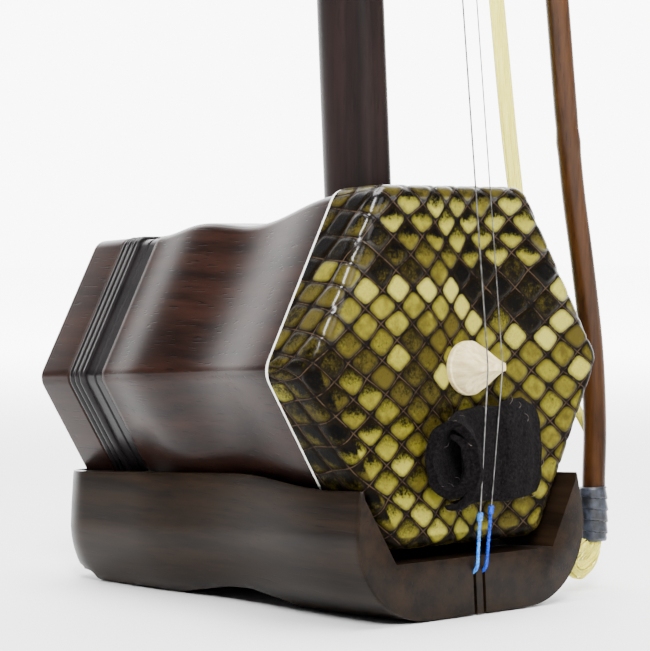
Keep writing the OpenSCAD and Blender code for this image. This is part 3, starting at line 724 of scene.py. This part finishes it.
tone = np.concatenate([tone, nearEdge[..., None]], -1)
allTone = np.clip(np.vstack([tone.reshape(-1, 4), tone[-1], tone[-1], tone[0, :1]]), 0, 1)
color = skinObj.data.color_attributes.new("tone", "FLOAT_COLOR", "POINT")
color.data.foreach_set("color", allTone.astype(np.float32).ravel())

trim = {"width": 1.2, "stand": 44.85, "inner": 43.65}
start = body["skin"] + skin["wrap"]
outline = [(start, trim["inner"]), (start, trim["stand"] - 0.2), (start + 0.2, trim["stand"]),
           (start + trim["width"] - 0.2, trim["stand"] - 0.1),
           (start + trim["width"], trim["stand"] - 0.3), (start + trim["width"], trim["inner"])]
piece("skin lining strip", [hexBand(outline, 4.8)], "instrument", ["skin_lining"], lining)

print("bridge")
bridge = {"x": 1.0, "z": 61.4, "foot": 6.9, "crest": 4.2, "slopeFoot": 6.2, "slopeTop": 1.1}
heights = [0, 0.2, 0.6, 1.0, 1.4, 1.7, 2.0] + list(np.linspace(2.2, 9.7, 40)) + [9.9, 10.05, 10.1]
rings = []
for h in heights:
    r = bridge["foot"] - 0.25 * max(0, 0.6 - h) if h < 1.6 else (
        bridge["foot"] - 0.35 + (bridge["crest"] - bridge["foot"] + 0.35) * (h - 1.6) / 8.5)
    r -= 0.3 * max(0, h - 9.7)
    top = np.interp(h, [0, 2.0, 2.2, 3.6, 5.2, 7, 9, 10.1], [8, 7.2, bridge["slopeFoot"], 4.5, 3.0, 1.9,
                                                             bridge["slopeTop"], 0.9])
    # round sides between a hollowed facet above and one below, with a vertex on each crease
    reach = min(math.asin(min(1.0, top / r)), 1.4)
    arc = np.linspace(-reach, reach, 24, endpoint=False)
    flat = np.linspace(r * math.cos(reach), -r * math.cos(reach), 24, endpoint=False)
    x = np.concatenate([r * np.cos(arc), flat])
    z = np.concatenate([r * np.sin(arc), np.full(24, r * math.sin(reach))])
    rings.append(np.stack([bridge["x"] + np.concatenate([x, -x]), np.full(96, body["skin"] - h),
                           bridge["z"] + np.concatenate([z, -z])], 1))
piece("bridge block", [loft(rings)], "instrument", ["bridge"], maple, sharp=22)

print("felt damper")
roll = {"left": -17.5, "right": 22.0, "low": 26.5, "high": 54.4, "thick": 2.0, "back": -36.4}


def feltSection(x):
    # an open spiral seen from the side, (y, z), fat on the left and pressed flat under the strings
    fat = 1 - ease((x + 17) / 13)
    rightSwell = ease((x - 5) / 5) * (1 - ease((x - 15) / 5))
    depth = 5.2 + 8.6 * fat + 1.8 * rightSwell
    mid, half = (roll["low"] + roll["high"]) / 2, (roll["high"] - roll["low"]) / 2
    lift = 1.5 * ease((x - 8) / 3) - 3.8 * ease((-x - 2) / 13)
    half = half - 0.8 * (1 - fat) - 1.6 * ease((x - 16) / 6) + lift / 2
    mid = mid + lift / 2
    turns = np.linspace(0, 1, 64)
    angle = math.radians(-70) - turns * math.radians(560)
    shrink = 1 - 0.42 * turns
    thick = roll["thick"] * (0.75 + 0.25 * fat)
    y = roll["back"] - depth / 2 + (depth / 2 - thick / 2) * np.cos(angle) * shrink
    z = mid + (half - thick / 2) * np.sin(angle) * shrink
    way = unit(np.stack([np.gradient(y), np.gradient(z)], 1))
    side = np.stack([-way[:, 1], way[:, 0]], 1) * thick / 2
    line = np.stack([y, z], 1)
    ends = np.sin(np.linspace(0, np.pi, 64)) ** 0.12
    side = side * ends[:, None]
    return np.vstack([line + side, (line - side)[::-1]])


rings = []
for i, x in enumerate(np.linspace(roll["left"], roll["right"], 60)):
    section = feltSection(x)
    ripple = 0.25 * np.sin(section[:, 1] * 0.9 + x * 0.7) + 0.2 * np.sin(section[:, 0] * 1.3 + x * 1.1)
    inset = 0.5 if i in (0, 59) else 0
    # the left end is open and cut slanting, so its front edge is furthest in
    slant = 8.5 * (1 - ease((x + 17.5) / 19)) * (roll["back"] - section[:, 0]) / 13.8
    rings.append(np.column_stack([np.full(len(section), x + inset * np.sign(-x)) + ripple + slant,
                                  section[:, 0], section[:, 1] + 0.3 * np.sin(x * 0.5)]))
feltObj = piece("felt damper roll", [loft(rings)], "instrument", ["felt_damper"], felt, sharp=60)
fuzz = {"amount": 110, "long": 2.4, "thick": 0.035}

fibreRolls = np.random.default_rng(11)
fibres = []
surface = np.array([v.co for v in feltObj.data.vertices])
facing = np.array([v.normal for v in feltObj.data.vertices])
for i in fibreRolls.choice(len(surface), fuzz["amount"], replace=False):
    # short curled wool fibres lying on the felt
    start = surface[i] / mm
    way = unit(np.cross(facing[i], fibreRolls.normal(size=3)))
    bend = unit(np.cross(way, facing[i])) * fibreRolls.uniform(-0.6, 0.6)
    s = np.linspace(0, 1, 9)[:, None]
    long = fuzz["long"] * fibreRolls.uniform(0.4, 1.2)
    fibres.append(sweep(start + facing[i] * (0.05 + 0.25 * np.sin(s * np.pi)) + way * s * long
                        + bend * np.sin(s * np.pi) * long * 0.5, fuzz["thick"], 5))
piece("felt fibres", [(p * mm, f) for p, f in fibres], "instrument", [], woolFibre, inFrame=True)

print("neck and head")
neck = {"round": 8.3, "back": 1.2, "flatY": -9.3, "low": 99.5, "top": 735.0,
        "tenon": 6.5, "foot": 12.0, "bend": 70.0, "turn": 50.0}
a = np.linspace(0, 2 * np.pi, 96, endpoint=False)
circle = np.stack([neck["round"] * np.cos(a), neck["round"] * np.sin(a)], 1)
section = circle.copy()  # pulled out to the flat strip in front
front = np.sin(a) < -0.6
pull = np.clip((-np.sin(a[front]) - 0.6) / 0.36, 0, 1) ** 1.6
reach = neck["flatY"] - neck["back"]
section[front, 1] = circle[front, 1] + (reach - circle[front, 1]) * pull
section[:, 1] = np.maximum(section[:, 1], reach)
narrow = np.abs(section[:, 1] - reach) < 0.25
section[narrow, 0] *= 0.96


def neckRing(z, scale=1.0):
    return np.stack([section[:, 0] * scale, neck["back"] + section[:, 1] * scale, np.full(96, z)], 1)


def bendRing(turned, scale=1.0, flat=1.0):
    # the head leans back round a centre behind the neck
    c = math.radians(turned)
    y = neck["back"] + section[:, 1] * scale
    far = neck["bend"] - y
    return np.stack([section[:, 0] * scale * flat, neck["bend"] - far * math.cos(c),
                     neck["top"] + far * math.sin(c)], 1)


rings = [neckRing(z) for z in [neck["low"] + 0.02, *np.linspace(110, neck["top"], 60)]]
tenon = lathe([(5.9, 0), (neck["tenon"] - 0.05, 0.8), (neck["tenon"] - 0.05, neck["low"] - neck["foot"] + 1)],
              (0, 0, neck["foot"]), (0, 0, 1))
piece("neck pole", [loft(rings), tenon], "instrument", ["neck"], neckWood, sharp=40)
rings = [bendRing(c) for c in np.linspace(0, neck["turn"], 50)]
piece("curved head", [loft(rings)], "instrument", ["head"], neckWood, sharp=40)
rings = []
for c in np.linspace(0.6, neck["turn"] - 0.4, 40):
    c = math.radians(c)
    square = np.array([(-1.9, -8.7), (-1.7, -9.42), (0, -9.5), (1.7, -9.42), (1.9, -8.7)])
    far = neck["bend"] - square[:, 1]
    rings.append(np.stack([square[:, 0], neck["bend"] - far * math.cos(c),
                           neck["top"] + far * math.sin(c)], 1))
piece("head inlay strip", [loft(rings)], "instrument", ["head_inlay"], bone)
c = math.radians(neck["turn"])
middle = (0, neck["bend"] - (neck["bend"] - neck["back"]) * math.cos(c),
          neck["top"] + (neck["bend"] - neck["back"]) * math.sin(c))
capProfile = [(7.9, 0), (8.6, 0.25), (8.8, 0.8), (8.7, 1.4), (8.3, 1.9), (7.2, 2.6), (5.6, 3.3), (3.4, 3.8),
              (0.5, 4.0)]
piece("head cap bone", [lathe(capProfile, middle, (0, math.sin(c), math.cos(c)))], "instrument",
      ["head_cap"], bone)
bandHigh = [0, 0.4, 1.0, 1.5, 2.0, 2.6, 3.0]
bandOut = [1.06, 1.2, 1.3, 1.34, 1.3, 1.2, 1.06]
rings = [neckRing(neck["top"] - 12 + h, f) for h, f in zip(bandHigh, bandOut)]
rings += [neckRing(neck["top"] - 12 + h, 1.005) for h in reversed(bandHigh)]
piece("neck band bone", [loft(rings, closedRows=True)], "instrument", ["neck_band"], bone)

# how far each string stands to the side at its slot, the bridge, the loop and its peg
stringX = {"inner": (-1.1, -1.6, -2.2, -5.5), "outer": (2.1, 3.6, 2.2, 5.5)}

print("cradle base")
base = {"half": 40.2, "horn": 33.0, "lip": -38.4, "gap": 3.0, "rear": 90.0, "cornerX": 18.0,
        "cornerZ": 21.5, "rearRound": 15.0, "tail": 14.0}


def baseWide(y):
    if y < -28:
        factor = 1
    elif y < 19:
        factor = 1 - 0.1 * ease((y + 28) / 47)
    elif y < 52:
        factor = 0.9 + 0.065 * ease((y - 19) / 33)
    else:
        factor = 0.965
    over = max(0, y - base["rear"] + base["rearRound"])
    front = max(0, base["lip"] + 0.5 - y)
    corner = base["rearRound"] - math.sqrt(max(0, base["rearRound"] ** 2 - over**2))
    return base["half"] * factor - corner - front


def baseUnder(y):
    if y < -12:
        low = 0.0
    elif y < 18:
        low = 6.8 * ease((y + 12) / 30)
    elif y < 48:
        low = 6.8 - 2.4 * ease((y - 18) / 30)
    else:
        low = 4.4 + 0.0024 * (y - 48) ** 2
    over = max(0, y - base["rear"] + base["tail"])
    tail = 8.7 + base["tail"] - math.sqrt(max(0, base["tail"] ** 2 - over**2)) if over else 0
    ground = (y + 34) * math.tan(lean)
    return max(low, tail, ground)


def baseRing(y):
    scale = baseWide(y) / base["half"]
    rim = base["horn"] + (3.5 * ease((y + 30) / 45) if y > -30 else 0)
    under = baseUnder(y)
    d = y - body["skin"]
    room = max(wave(d) if d < 94.4 else 37.6, 38) + base["gap"] + (1.4 if d < waves["wrap"] else 0)
    a = np.radians(np.linspace(0, 90, 22))
    x = base["cornerX"] + (base["half"] - base["cornerX"]) * np.cos(a)
    z = base["cornerZ"] - base["cornerZ"] * np.sin(a)
    z = np.maximum(z, under)
    fall = np.array([0, 0.06, 0.3, 0.6, 0.9]) * (rim - base["cornerZ"])
    side = np.stack([[38.25, 38.5, 39.0, 39.6, 40.05], rim - fall], 1)
    right = np.vstack([side, np.stack([x, z], 1), [(9, under), (0, under)]])
    right[:, 0] *= scale
    h = np.array([rim, (2 * rim + 30) / 3 - 1, 28, 24, 20.5])
    low = body["axis"] - room
    h = np.maximum(h, low)
    inner = np.stack([(room + (h - body["axis"]) * 0.5) / math.cos(math.pi / 6), h], 1)
    inner[:, 0] = np.minimum(inner[:, 0], right[0, 0] - 0.25)
    flat = [(room * math.tan(math.pi / 6), low), (room * 0.3, low)]
    inner = np.vstack([inner, flat])
    half = np.vstack([[(0, low)], inner[::-1], right])
    ring = np.vstack([half, (half[::-1] * (-1, 1))[1:-1]])
    return np.stack([ring[:, 0], np.full(len(ring), y), ring[:, 1]], 1)


stations = [base["lip"], base["lip"] + 0.5, base["lip"] + 1.6, -34, -30, *np.linspace(-27, 76, 60),
            *(base["rear"] - base["tail"] * (1 - np.sin(np.linspace(0.1, np.pi / 2, 14))))]
stations[-1] = base["rear"] - 0.02
baseObj = piece("cradle base wood", [loft([baseRing(y) for y in stations])], "instrument", ["base"], baseWood,
                bevel=0.7, sharp=32)
front, back = base["lip"] - 2, base["lip"] + 1.6
for x in (places[0] for places in stringX.values()):  # a slot for each string's silk
    rings = [np.array([(x - w, front, z), (x + w, front, z), (x + w, back, z), (x - w, back, z)])
             for w, z in ((0.5, -3), (0.5, 10.9), (0.3, 11.4))]
    points, faces = loft(rings)
    mesh = bpy.data.meshes.new("slot")
    mesh.from_pydata(stand(points).tolist(), [], faces)
    cutter = bpy.data.objects.new("slot_cutter", mesh)
    bpy.context.scene.collection.objects.link(cutter)
    cut = baseObj.modifiers.new("slot", "BOOLEAN")
    cut.operation, cut.object, cut.solver = "DIFFERENCE", cutter, "EXACT"
    baked(baseObj)
    bpy.data.objects.remove(cutter)
baseObj.data.materials.clear()
baseObj.data.materials.append(baseWood)
baseObj.data.set_sharp_from_angle(angle=math.radians(32))
pad = {"half": 15.0, "front": -14.0, "back": 14.0}
rings = []
for y in np.linspace(pad["front"], pad["back"], 16):
    d = y - body["skin"]
    low, top = body["axis"] - max(wave(d), 38) - base["gap"] + 0.05, body["axis"] - wave(d) - 0.05
    x = np.linspace(-pad["half"], pad["half"], 14)
    x = np.concatenate([x, x[::-1]])
    z = np.concatenate([np.full(14, low), np.full(14, top)])
    rings.append(np.stack([x, np.full(28, y), z], 1))
piece("base pad block", [loft(rings)], "instrument", ["base_pad"], blackWood, bevel=0.3)

print("strings")
ends = {"inner": (25.0, -18.0, 692.0, 0.2), "outer": (26.5, -14.5, 607.0, 0.15)}
slotPlace = (-39.3, 10.8)
cord = {"back": 9.2, "front": 3.4, "z": 452.0}  # the string loop


def stringY(z):
    return body["string"] + body["stringRise"] * (z - bridge["z"])


def tailPoint(which, z):
    t = (z - slotPlace[1]) / (bridge["z"] - slotPlace[1])
    low, rest = stringX[which][0], stringX[which][1]
    return (low + (rest - low) * t, slotPlace[0] + (stringY(bridge["z"]) - slotPlace[0]) * t, z)


for which in ("inner", "outer"):
    silkTop, pegY, pegZ, r = ends[which]
    low, rest, loop, peg = stringX[which]
    line = [tailPoint(which, silkTop), (rest, stringY(bridge["z"]), bridge["z"]),
            (loop, stringY(cord["z"]), cord["z"]), (peg, pegY, pegZ)]
    path = np.vstack([np.linspace(line[i], line[i + 1], n, endpoint=False)
                      for i, n in enumerate((12, 60, 30))] + [line[3:]])
    obj = strands("string " + which, path, (0, 0, 0), (0, 0, 0),
                  {"Thickness": r * mm, "Sides": 12}, stringSteel)
    settle(obj, "instrument", ["string_" + which], stringSteel)
    mat = silkLight if which == "inner" else silkDark
    path = smoothPath([tailPoint(which, silkTop), tailPoint(which, 17),
                       (low, slotPlace[0], slotPlace[1] + 1),
                       (low, base["lip"] - 0.1, slotPlace[1]),
                       (low, base["lip"] + 0.7, slotPlace[1] - 0.4)], 60)
    _, across, through = frames(path)
    silk = strands("silk " + which, path, across * 0.26, through * 0.26,
                   {"Amount": 3, "Thickness": 0.25 * mm, "Turns": 12.0}, mat)
    knotPath = smoothPath([tailPoint(which, silkTop - 1.6), tailPoint(which, silkTop + 0.3)], 40)
    _, across, through = frames(knotPath)
    knot = strands("knot " + which, knotPath, across * 0.5, through * 0.5,
                   {"Thickness": 0.28 * mm, "Turns": 4.0}, mat)
    settle(joined(silk, knot), "instrument", ["silk_" + which], mat)

print("string loop")
a = np.linspace(0, np.pi, 40)
frontY = stringY(cord["z"]) + 0.5
loopPath = np.vstack([np.stack([cord["back"] * np.cos(a), 1.2 + cord["back"] * np.sin(a)], 1),
                      np.stack([-cord["front"] * np.cos(a), frontY - cord["front"] * np.sin(a)], 1)])
loopPath = np.vstack([loopPath, loopPath[:1]])
steps = np.concatenate([[0], np.cumsum(np.linalg.norm(np.diff(loopPath, axis=0), axis=1))])
even = np.linspace(0, steps[-1], 160)
loopPath = np.stack([np.interp(even, steps, loopPath[:, 0]), np.interp(even, steps, loopPath[:, 1]),
                     np.full(160, cord["z"])], 1)
_, across, through = frames(loopPath)
obj = strands("string loop thread", loopPath, across * 0.36, through * 0.36,
              {"Amount": 4, "Thickness": 0.27 * mm, "Turns": 22.0}, redThread)
settle(obj, "string_loop", ["qianjin"], redThread)

print("pegs")
pegs = {"upper": (692.0, -24.0, -20.5, 8, 0.23), "lower": (607.0, -19.5, -17.0, 9, 0.17)}
handle = {"start": 12.0, "shaft": 4.2, "flutes": 10}
for which, (z, front, coilY, turns, wire) in pegs.items():
    bodyName = f"peg_{which}_turning"
    profile = [(3.6, front), (handle["shaft"] - 0.02, front + 0.6), (handle["shaft"] - 0.02, handle["start"])]
    shaft = lathe(profile, (0, 0, z), (0, 1, 0))
    along = np.linspace(5, 55, 40)
    grow = 5.4 + 3.9 * ease((along - 5) / 38)
    dome = np.clip((along - 48.7) / 8.2, 0, 1)
    grow = grow * np.sqrt(1 - dome**2 * 0.75)
    profile = [(4.0, 0), (5.1, 0), (5.9, 0.6), (6.2, 1.3), (5.8, 2.2), (5.2, 3.0), *zip(grow, along),
               (3.6, 56.4), (1.0, 56.7)]

    def flutes(row, turned):
        depth = np.interp(row, [0, 5, 12, 44, 52, 58], [0, 0, 1, 1, 0, 0])
        return -0.9 * depth * np.abs(np.cos(turned * handle["flutes"] / 2)) ** 3

    grip = lathe(profile, (0, handle["start"], z), (0, 1, 0), 120, flutes)
    piece(f"peg {which} wood", [shaft, grip], bodyName, [f"peg_{which}"], blackWood)
    profile = [(3.9, 0), (4.35, 0.2), (4.4, 0.9), (4.1, 1.4), (3.3, 2.4), (2.7, 3.2), (2.8, 3.9), (2.5, 4.8),
               (1.6, 5.5), (0.3, 5.8)]
    piece(f"peg cap {which} bone", [lathe(profile, (0, 68.8, z), (0, 1, 0))], bodyName,
          [f"peg_cap_{which}"], bone)
    steps = turns * 26
    path = np.stack([np.zeros(steps), np.linspace(coilY + wire, coilY + wire * (2 * turns - 1), steps),
                     np.full(steps, z)], 1)
    obj = strands(f"winding {which} wire", path, (handle["shaft"] + wire * 0.9, 0, 0),
                  (0, 0, handle["shaft"] + wire * 0.9),
                  {"Thickness": wire * mm, "Turns": turns - 1.0}, steel)
    settle(obj, bodyName, [f"winding_{which}"], steel)

print("bow")
bow = {"cross": 400.0, "side": -47.0, "leanX": 0.155, "leanY": 0.067, "gap": 19.0, "slope": 0.0119,
       "top": 362.0, "frog": 262.0}
turnY = -math.atan(bow["leanX"])
turnX = math.atan(bow["leanY"] * math.cos(turnY))
bowTurn = (Matrix.Rotation(turnY, 3, "Y") @ Matrix.Rotation(turnX, 3, "X")
           @ Matrix.Rotation(math.radians(bow["side"]), 3, "Z"))
bowArray = np.array(bowTurn)
bowStart = np.array([0, stringY(bow["cross"]), bow["cross"]])


def held(points):
    # the bow's own frame, up the hair and out to the stick, to the instrument's
    return np.asarray(points, float) @ bowArray.T + bowStart


def stickAt(z):
    return (bow["gap"] + bow["slope"] * z, 0, z)


tipPath = [(12.4, -11.1, -391), (12.9, -9.9, -384.5), (13.5, -8.2, -376.7), (15.3, -4.3, -362.2),
           (16.5, -0.9, -341.5), (16.2, -0.1, -318), stickAt(-295), stickAt(-240)]
lower = smoothPath(tipPath, 60)
upper = np.array([stickAt(z) for z in np.linspace(-238, bow["top"] - 15, 130)])
stickPath = np.vstack([lower, upper])
zs = stickPath[:, 2]
size = np.interp(zs, [-391, -389, 200, 250, 350], [2.6, 3.15, 3.2, 3.75, 3.85])
for knotZ in (-285, -120, 45, 196):  # the bamboo's joints
    size = size + 0.28 * np.exp(-((zs - knotZ) / 1.6) ** 2) - 0.15 * np.exp(-((zs - knotZ - 3) / 2.0) ** 2)
piece("bow stick bamboo", [sweep(held(stickPath), size, 32)], "bow", ["bow_stick"], stickWood)

hair = {"half": 4.7, "thick": 0.8, "strand": 0.15}
tail = [(0, 0, -240), (0, 0, -293), (1, 1.5, -312), (4.5, 4.5, -335), (10, 4.5, -355), (14.6, 0.8, -367),
        (15.3, -1.6, -373.5), (14.2, -5.4, -379)]
low = smoothPath(tail, 90)[::-1]
high = np.array([(0, 0, z) for z in np.linspace(-236, bow["frog"] + 14, 60)])
hairPath = np.vstack([low, high])
zs = hairPath[:, 2]
turn = np.radians(np.interp(zs, [-300, -244, -200], [-22, -22, -8.4]))
half = np.interp(zs, [-379, -367, -335, -293, 250], [1.3, 1.5, 2.4, hair["half"], hair["half"]])
thick = np.interp(zs, [-379, -367, -335, -293, 250], [1.1, 1.2, 0.9, 0.75, hair["thick"]])
across = np.stack([-np.sin(turn), np.cos(turn), 0 * turn], 1) * half[:, None]
through = np.stack([np.cos(turn), np.sin(turn), 0 * turn], 1) * thick[:, None]
hairObj = strands("bow hair strands", held(hairPath), across @ bowArray.T, through @ bowArray.T,
                  {"Amount": 330, "Thickness": hair["strand"] * mm, "Spread": 1.0, "Loose": 0.35,
                   "Sides": 4, "Seed": 3}, horsehair)
settle(hairObj, None, ["bow_hair"], horsehair)
startPoint, endPoint = stand(held([(0, 0, -200), (0, 0, bow["frog"] - 4)]))
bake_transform(hairObj, "bow", "bow_frog", tuple(startPoint), tuple(endPoint))

print("bow wraps")


def wrapped(path, radius, pitch, step, seed, sides=72):
    # layers of tape laid in slanting turns: the radius climbs over each turn and drops at its edge
    path = np.asarray(path, float)
    length = np.concatenate([[0], np.cumsum(np.linalg.norm(np.diff(path, axis=0), axis=1))])
    a = np.linspace(0, 2 * np.pi, sides, endpoint=False)
    noise = np.random.default_rng(seed)
    phase = (length[:, None] / pitch + a / (2 * np.pi)) % 1
    shift = noise.uniform(-0.2, 0.2, 40)[(length[:, None] / pitch + a / (2 * np.pi)).astype(int) % 40]
    climb = np.clip(phase * 1.15 + shift * 0.2, 0, 1)
    return sweep(path, np.asarray(radius).reshape(-1, 1) + step * climb, sides)


tapePath = smoothPath([(13.1, -9.2, -377), (12.7, -10.0, -383.5), (12.2, -11.2, -391.5)], 90)
tapeSize = np.interp(np.linspace(0, 1, 90), [0, 0.03, 0.5, 0.96, 1], [3.3, 3.6, 3.7, 3.3, 3.0])
piece("tip tape wrap", [wrapped(held(tapePath), tapeSize, 3.1, 0.35, 4)], "bow", ["tip_wrap"], tape,
      sharp=30)

tuftPath = smoothPath([(12.9, -10.6, -388.5), (11.9, -13.4, -393), (9.6, -16.4, -396.4), (6.8, -19.0, -397.8),
                       (5.4, -18.2, -395.6), (7.6, -15.2, -393.2), (10.8, -12.2, -390.5)], 70)
_, across, through = frames(tuftPath)
spread = np.interp(np.linspace(0, 1, 70), [0, 0.25, 0.5, 0.75, 1], [1.5, 2.1, 2.2, 1.8, 1.2])[:, None]
tuft = strands("hair tuft strands", held(tuftPath), across @ bowArray.T * spread,
               through @ bowArray.T * spread,
               {"Amount": 90, "Thickness": 0.12 * mm, "Turns": 0.4, "Spread": 1.0, "Loose": 0.3, "Sides": 4,
                "Seed": 9}, horsehair)
settle(tuft, "bow", ["hair_tuft"], horsehair)

gripPath = np.array([stickAt(z) for z in np.linspace(bow["frog"] - 60, bow["frog"] - 21.5, 420)])
_, across, through = frames(gripPath)
grip = strands("grip thread wrap", held(gripPath), across @ bowArray.T * 3.95, through @ bowArray.T * 3.95,
               {"Thickness": 0.42 * mm, "Turns": 46.0}, gripThread)
settle(grip, "bow", ["grip_wrap"], gripThread)

print("frog")
frog = {"x": 18.35, "low": 262.0}
outline = [(0.5, 0), (0.5, 54), (-7.4, 53.8), (-11.4, 50.4), (-15, 46), (-17, 41.5), (-18.2, 36),
           (-19.3, 25), (-20.2, 14), (-20.3, 6), (-20.2, 1), (-16.5, 2.9), (-12, 4), (-9, 3.2), (-6, 2)]
outline = np.array(outline)
outline[:, 0] = np.minimum(outline[:, 0], -0.15)
outline = smoothPath(np.vstack([outline[2:], outline[2:3]]), 60)[:-1]
rings = []
for y, inset in ((-5.4, 0.8), (-5.1, 0.3), (-4.6, 0), (4.6, 0), (5.1, 0.3), (5.4, 0.8)):
    middle = outline.mean(0)
    out = outline + (middle - outline) / np.linalg.norm(middle - outline, axis=1)[:, None] * inset
    rings.append(np.stack([frog["x"] + out[:, 0], np.full(len(out), y), frog["low"] + out[:, 1]], 1))
points, faces = loft(rings)
piece("frog block", [(held(points), faces)], "bow_frog", ["frog"], blackWood,
      sharp=40)
ferrule = {"low": 263.0, "middle": 0.8, "wide": 3.6, "deep": 6.3, "round": 0.35}
rings = []
for z, grow in ((0, 0), (0.3, 0.12), (0.8, 0.12), (1.1, 0), (8.9, 0), (9.2, 0.12), (9.7, 0.12), (10, 0),
                (10, -1.0), (0, -1.0)):
    a = np.linspace(0, 2 * np.pi, 64, endpoint=False)
    x = np.sign(np.cos(a)) * np.abs(np.cos(a)) ** ferrule["round"]
    y = np.sign(np.sin(a)) * np.abs(np.sin(a)) ** ferrule["round"]
    rings.append(np.stack([ferrule["middle"] + (ferrule["wide"] + grow) * x, (ferrule["deep"] + grow) * y,
                           np.full(64, ferrule["low"] + z)], 1))
points, faces = loft(rings, closedRows=True)
piece("ferrule ring", [(held(points), faces)], "bow_frog", ["frog_ferrule"], ferruleMetal)
profile = [(0.9, 0), (3.9, 0.0), (4.3, 0.4), (4.6, 1.4), (4.2, 2.4), (3.9, 3.0), (4.3, 4.4), (4.8, 6.5),
           (4.75, 8.6), (4.3, 10.6), (3.4, 12.4), (2.2, 13.6), (0.3, 14.2)]
place, end = held([stickAt(bow["top"] - 14.6), stickAt(bow["top"])])
piece("screw button bone", [lathe(profile, place, end - place)], "tension_screw", ["screw_button"], bone)

print("floor and light")
floorMat, shader, at = material("floor", rough=0.6, color=(0.93, 0.93, 0.93, 1), ior=1.1)
far = at.node("ShaderNodeVectorMath", {0: at}, out=1, operation="LENGTH").step(0.35, 1.6)
glow = far.between((0, 0, 0, 1), (1, 1, 1, 1))  # the floor brightens into the backdrop far behind
at.tree.links.new(glow.socket, shader.inputs["Emission Color"])
shader.inputs["Emission Strength"].default_value = 7.0
bpy.ops.mesh.primitive_plane_add(size=12, location=(0, 0, -0.0002))
floor = bpy.context.object
floor.name = "floor"
floor.data.materials.append(floorMat)
world = bpy.data.worlds.new("studio")
bpy.context.scene.world = world
world.use_nodes = True
background = next(n for n in world.node_tree.nodes if n.type == "BACKGROUND")
direction = Wire(world.node_tree, world.node_tree.nodes.new("ShaderNodeTexCoord").outputs["Generated"])
facing = direction.node("ShaderNodeVectorMath", {0: direction, 1: (0.667, 0.744, 0.1)}, out=1,
                        operation="DOT_PRODUCT")
sky = facing.step(0.45, 0.97).between((0.09, 0.09, 0.1, 1), (9, 9, 9, 1))
world.node_tree.links.new(sky.socket, background.inputs["Color"])
background.inputs["Strength"].default_value = 1.0


def softbox(name, place, toward, wide, high, power):
    data = bpy.data.lights.new(name, "AREA")
    data.shape, data.size, data.size_y, data.energy = "RECTANGLE", wide, high, power
    lamp = bpy.data.objects.new(name, data)
    bpy.context.scene.collection.objects.link(lamp)
    lamp.location = place
    lamp.rotation_euler = (Vector(toward) - Vector(place)).to_track_quat("-Z", "Y").to_euler()


target = (0, 0.03, 0.07)
softbox("left box", (-0.78, -0.95, 1.1), target, 0.3, 0.7, 46)
softbox("front box", (0.3, -1.4, 0.7), target, 0.7, 0.7, 7)
softbox("top box", (0.1, 0.1, 1.9), target, 1.2, 1.2, 100)
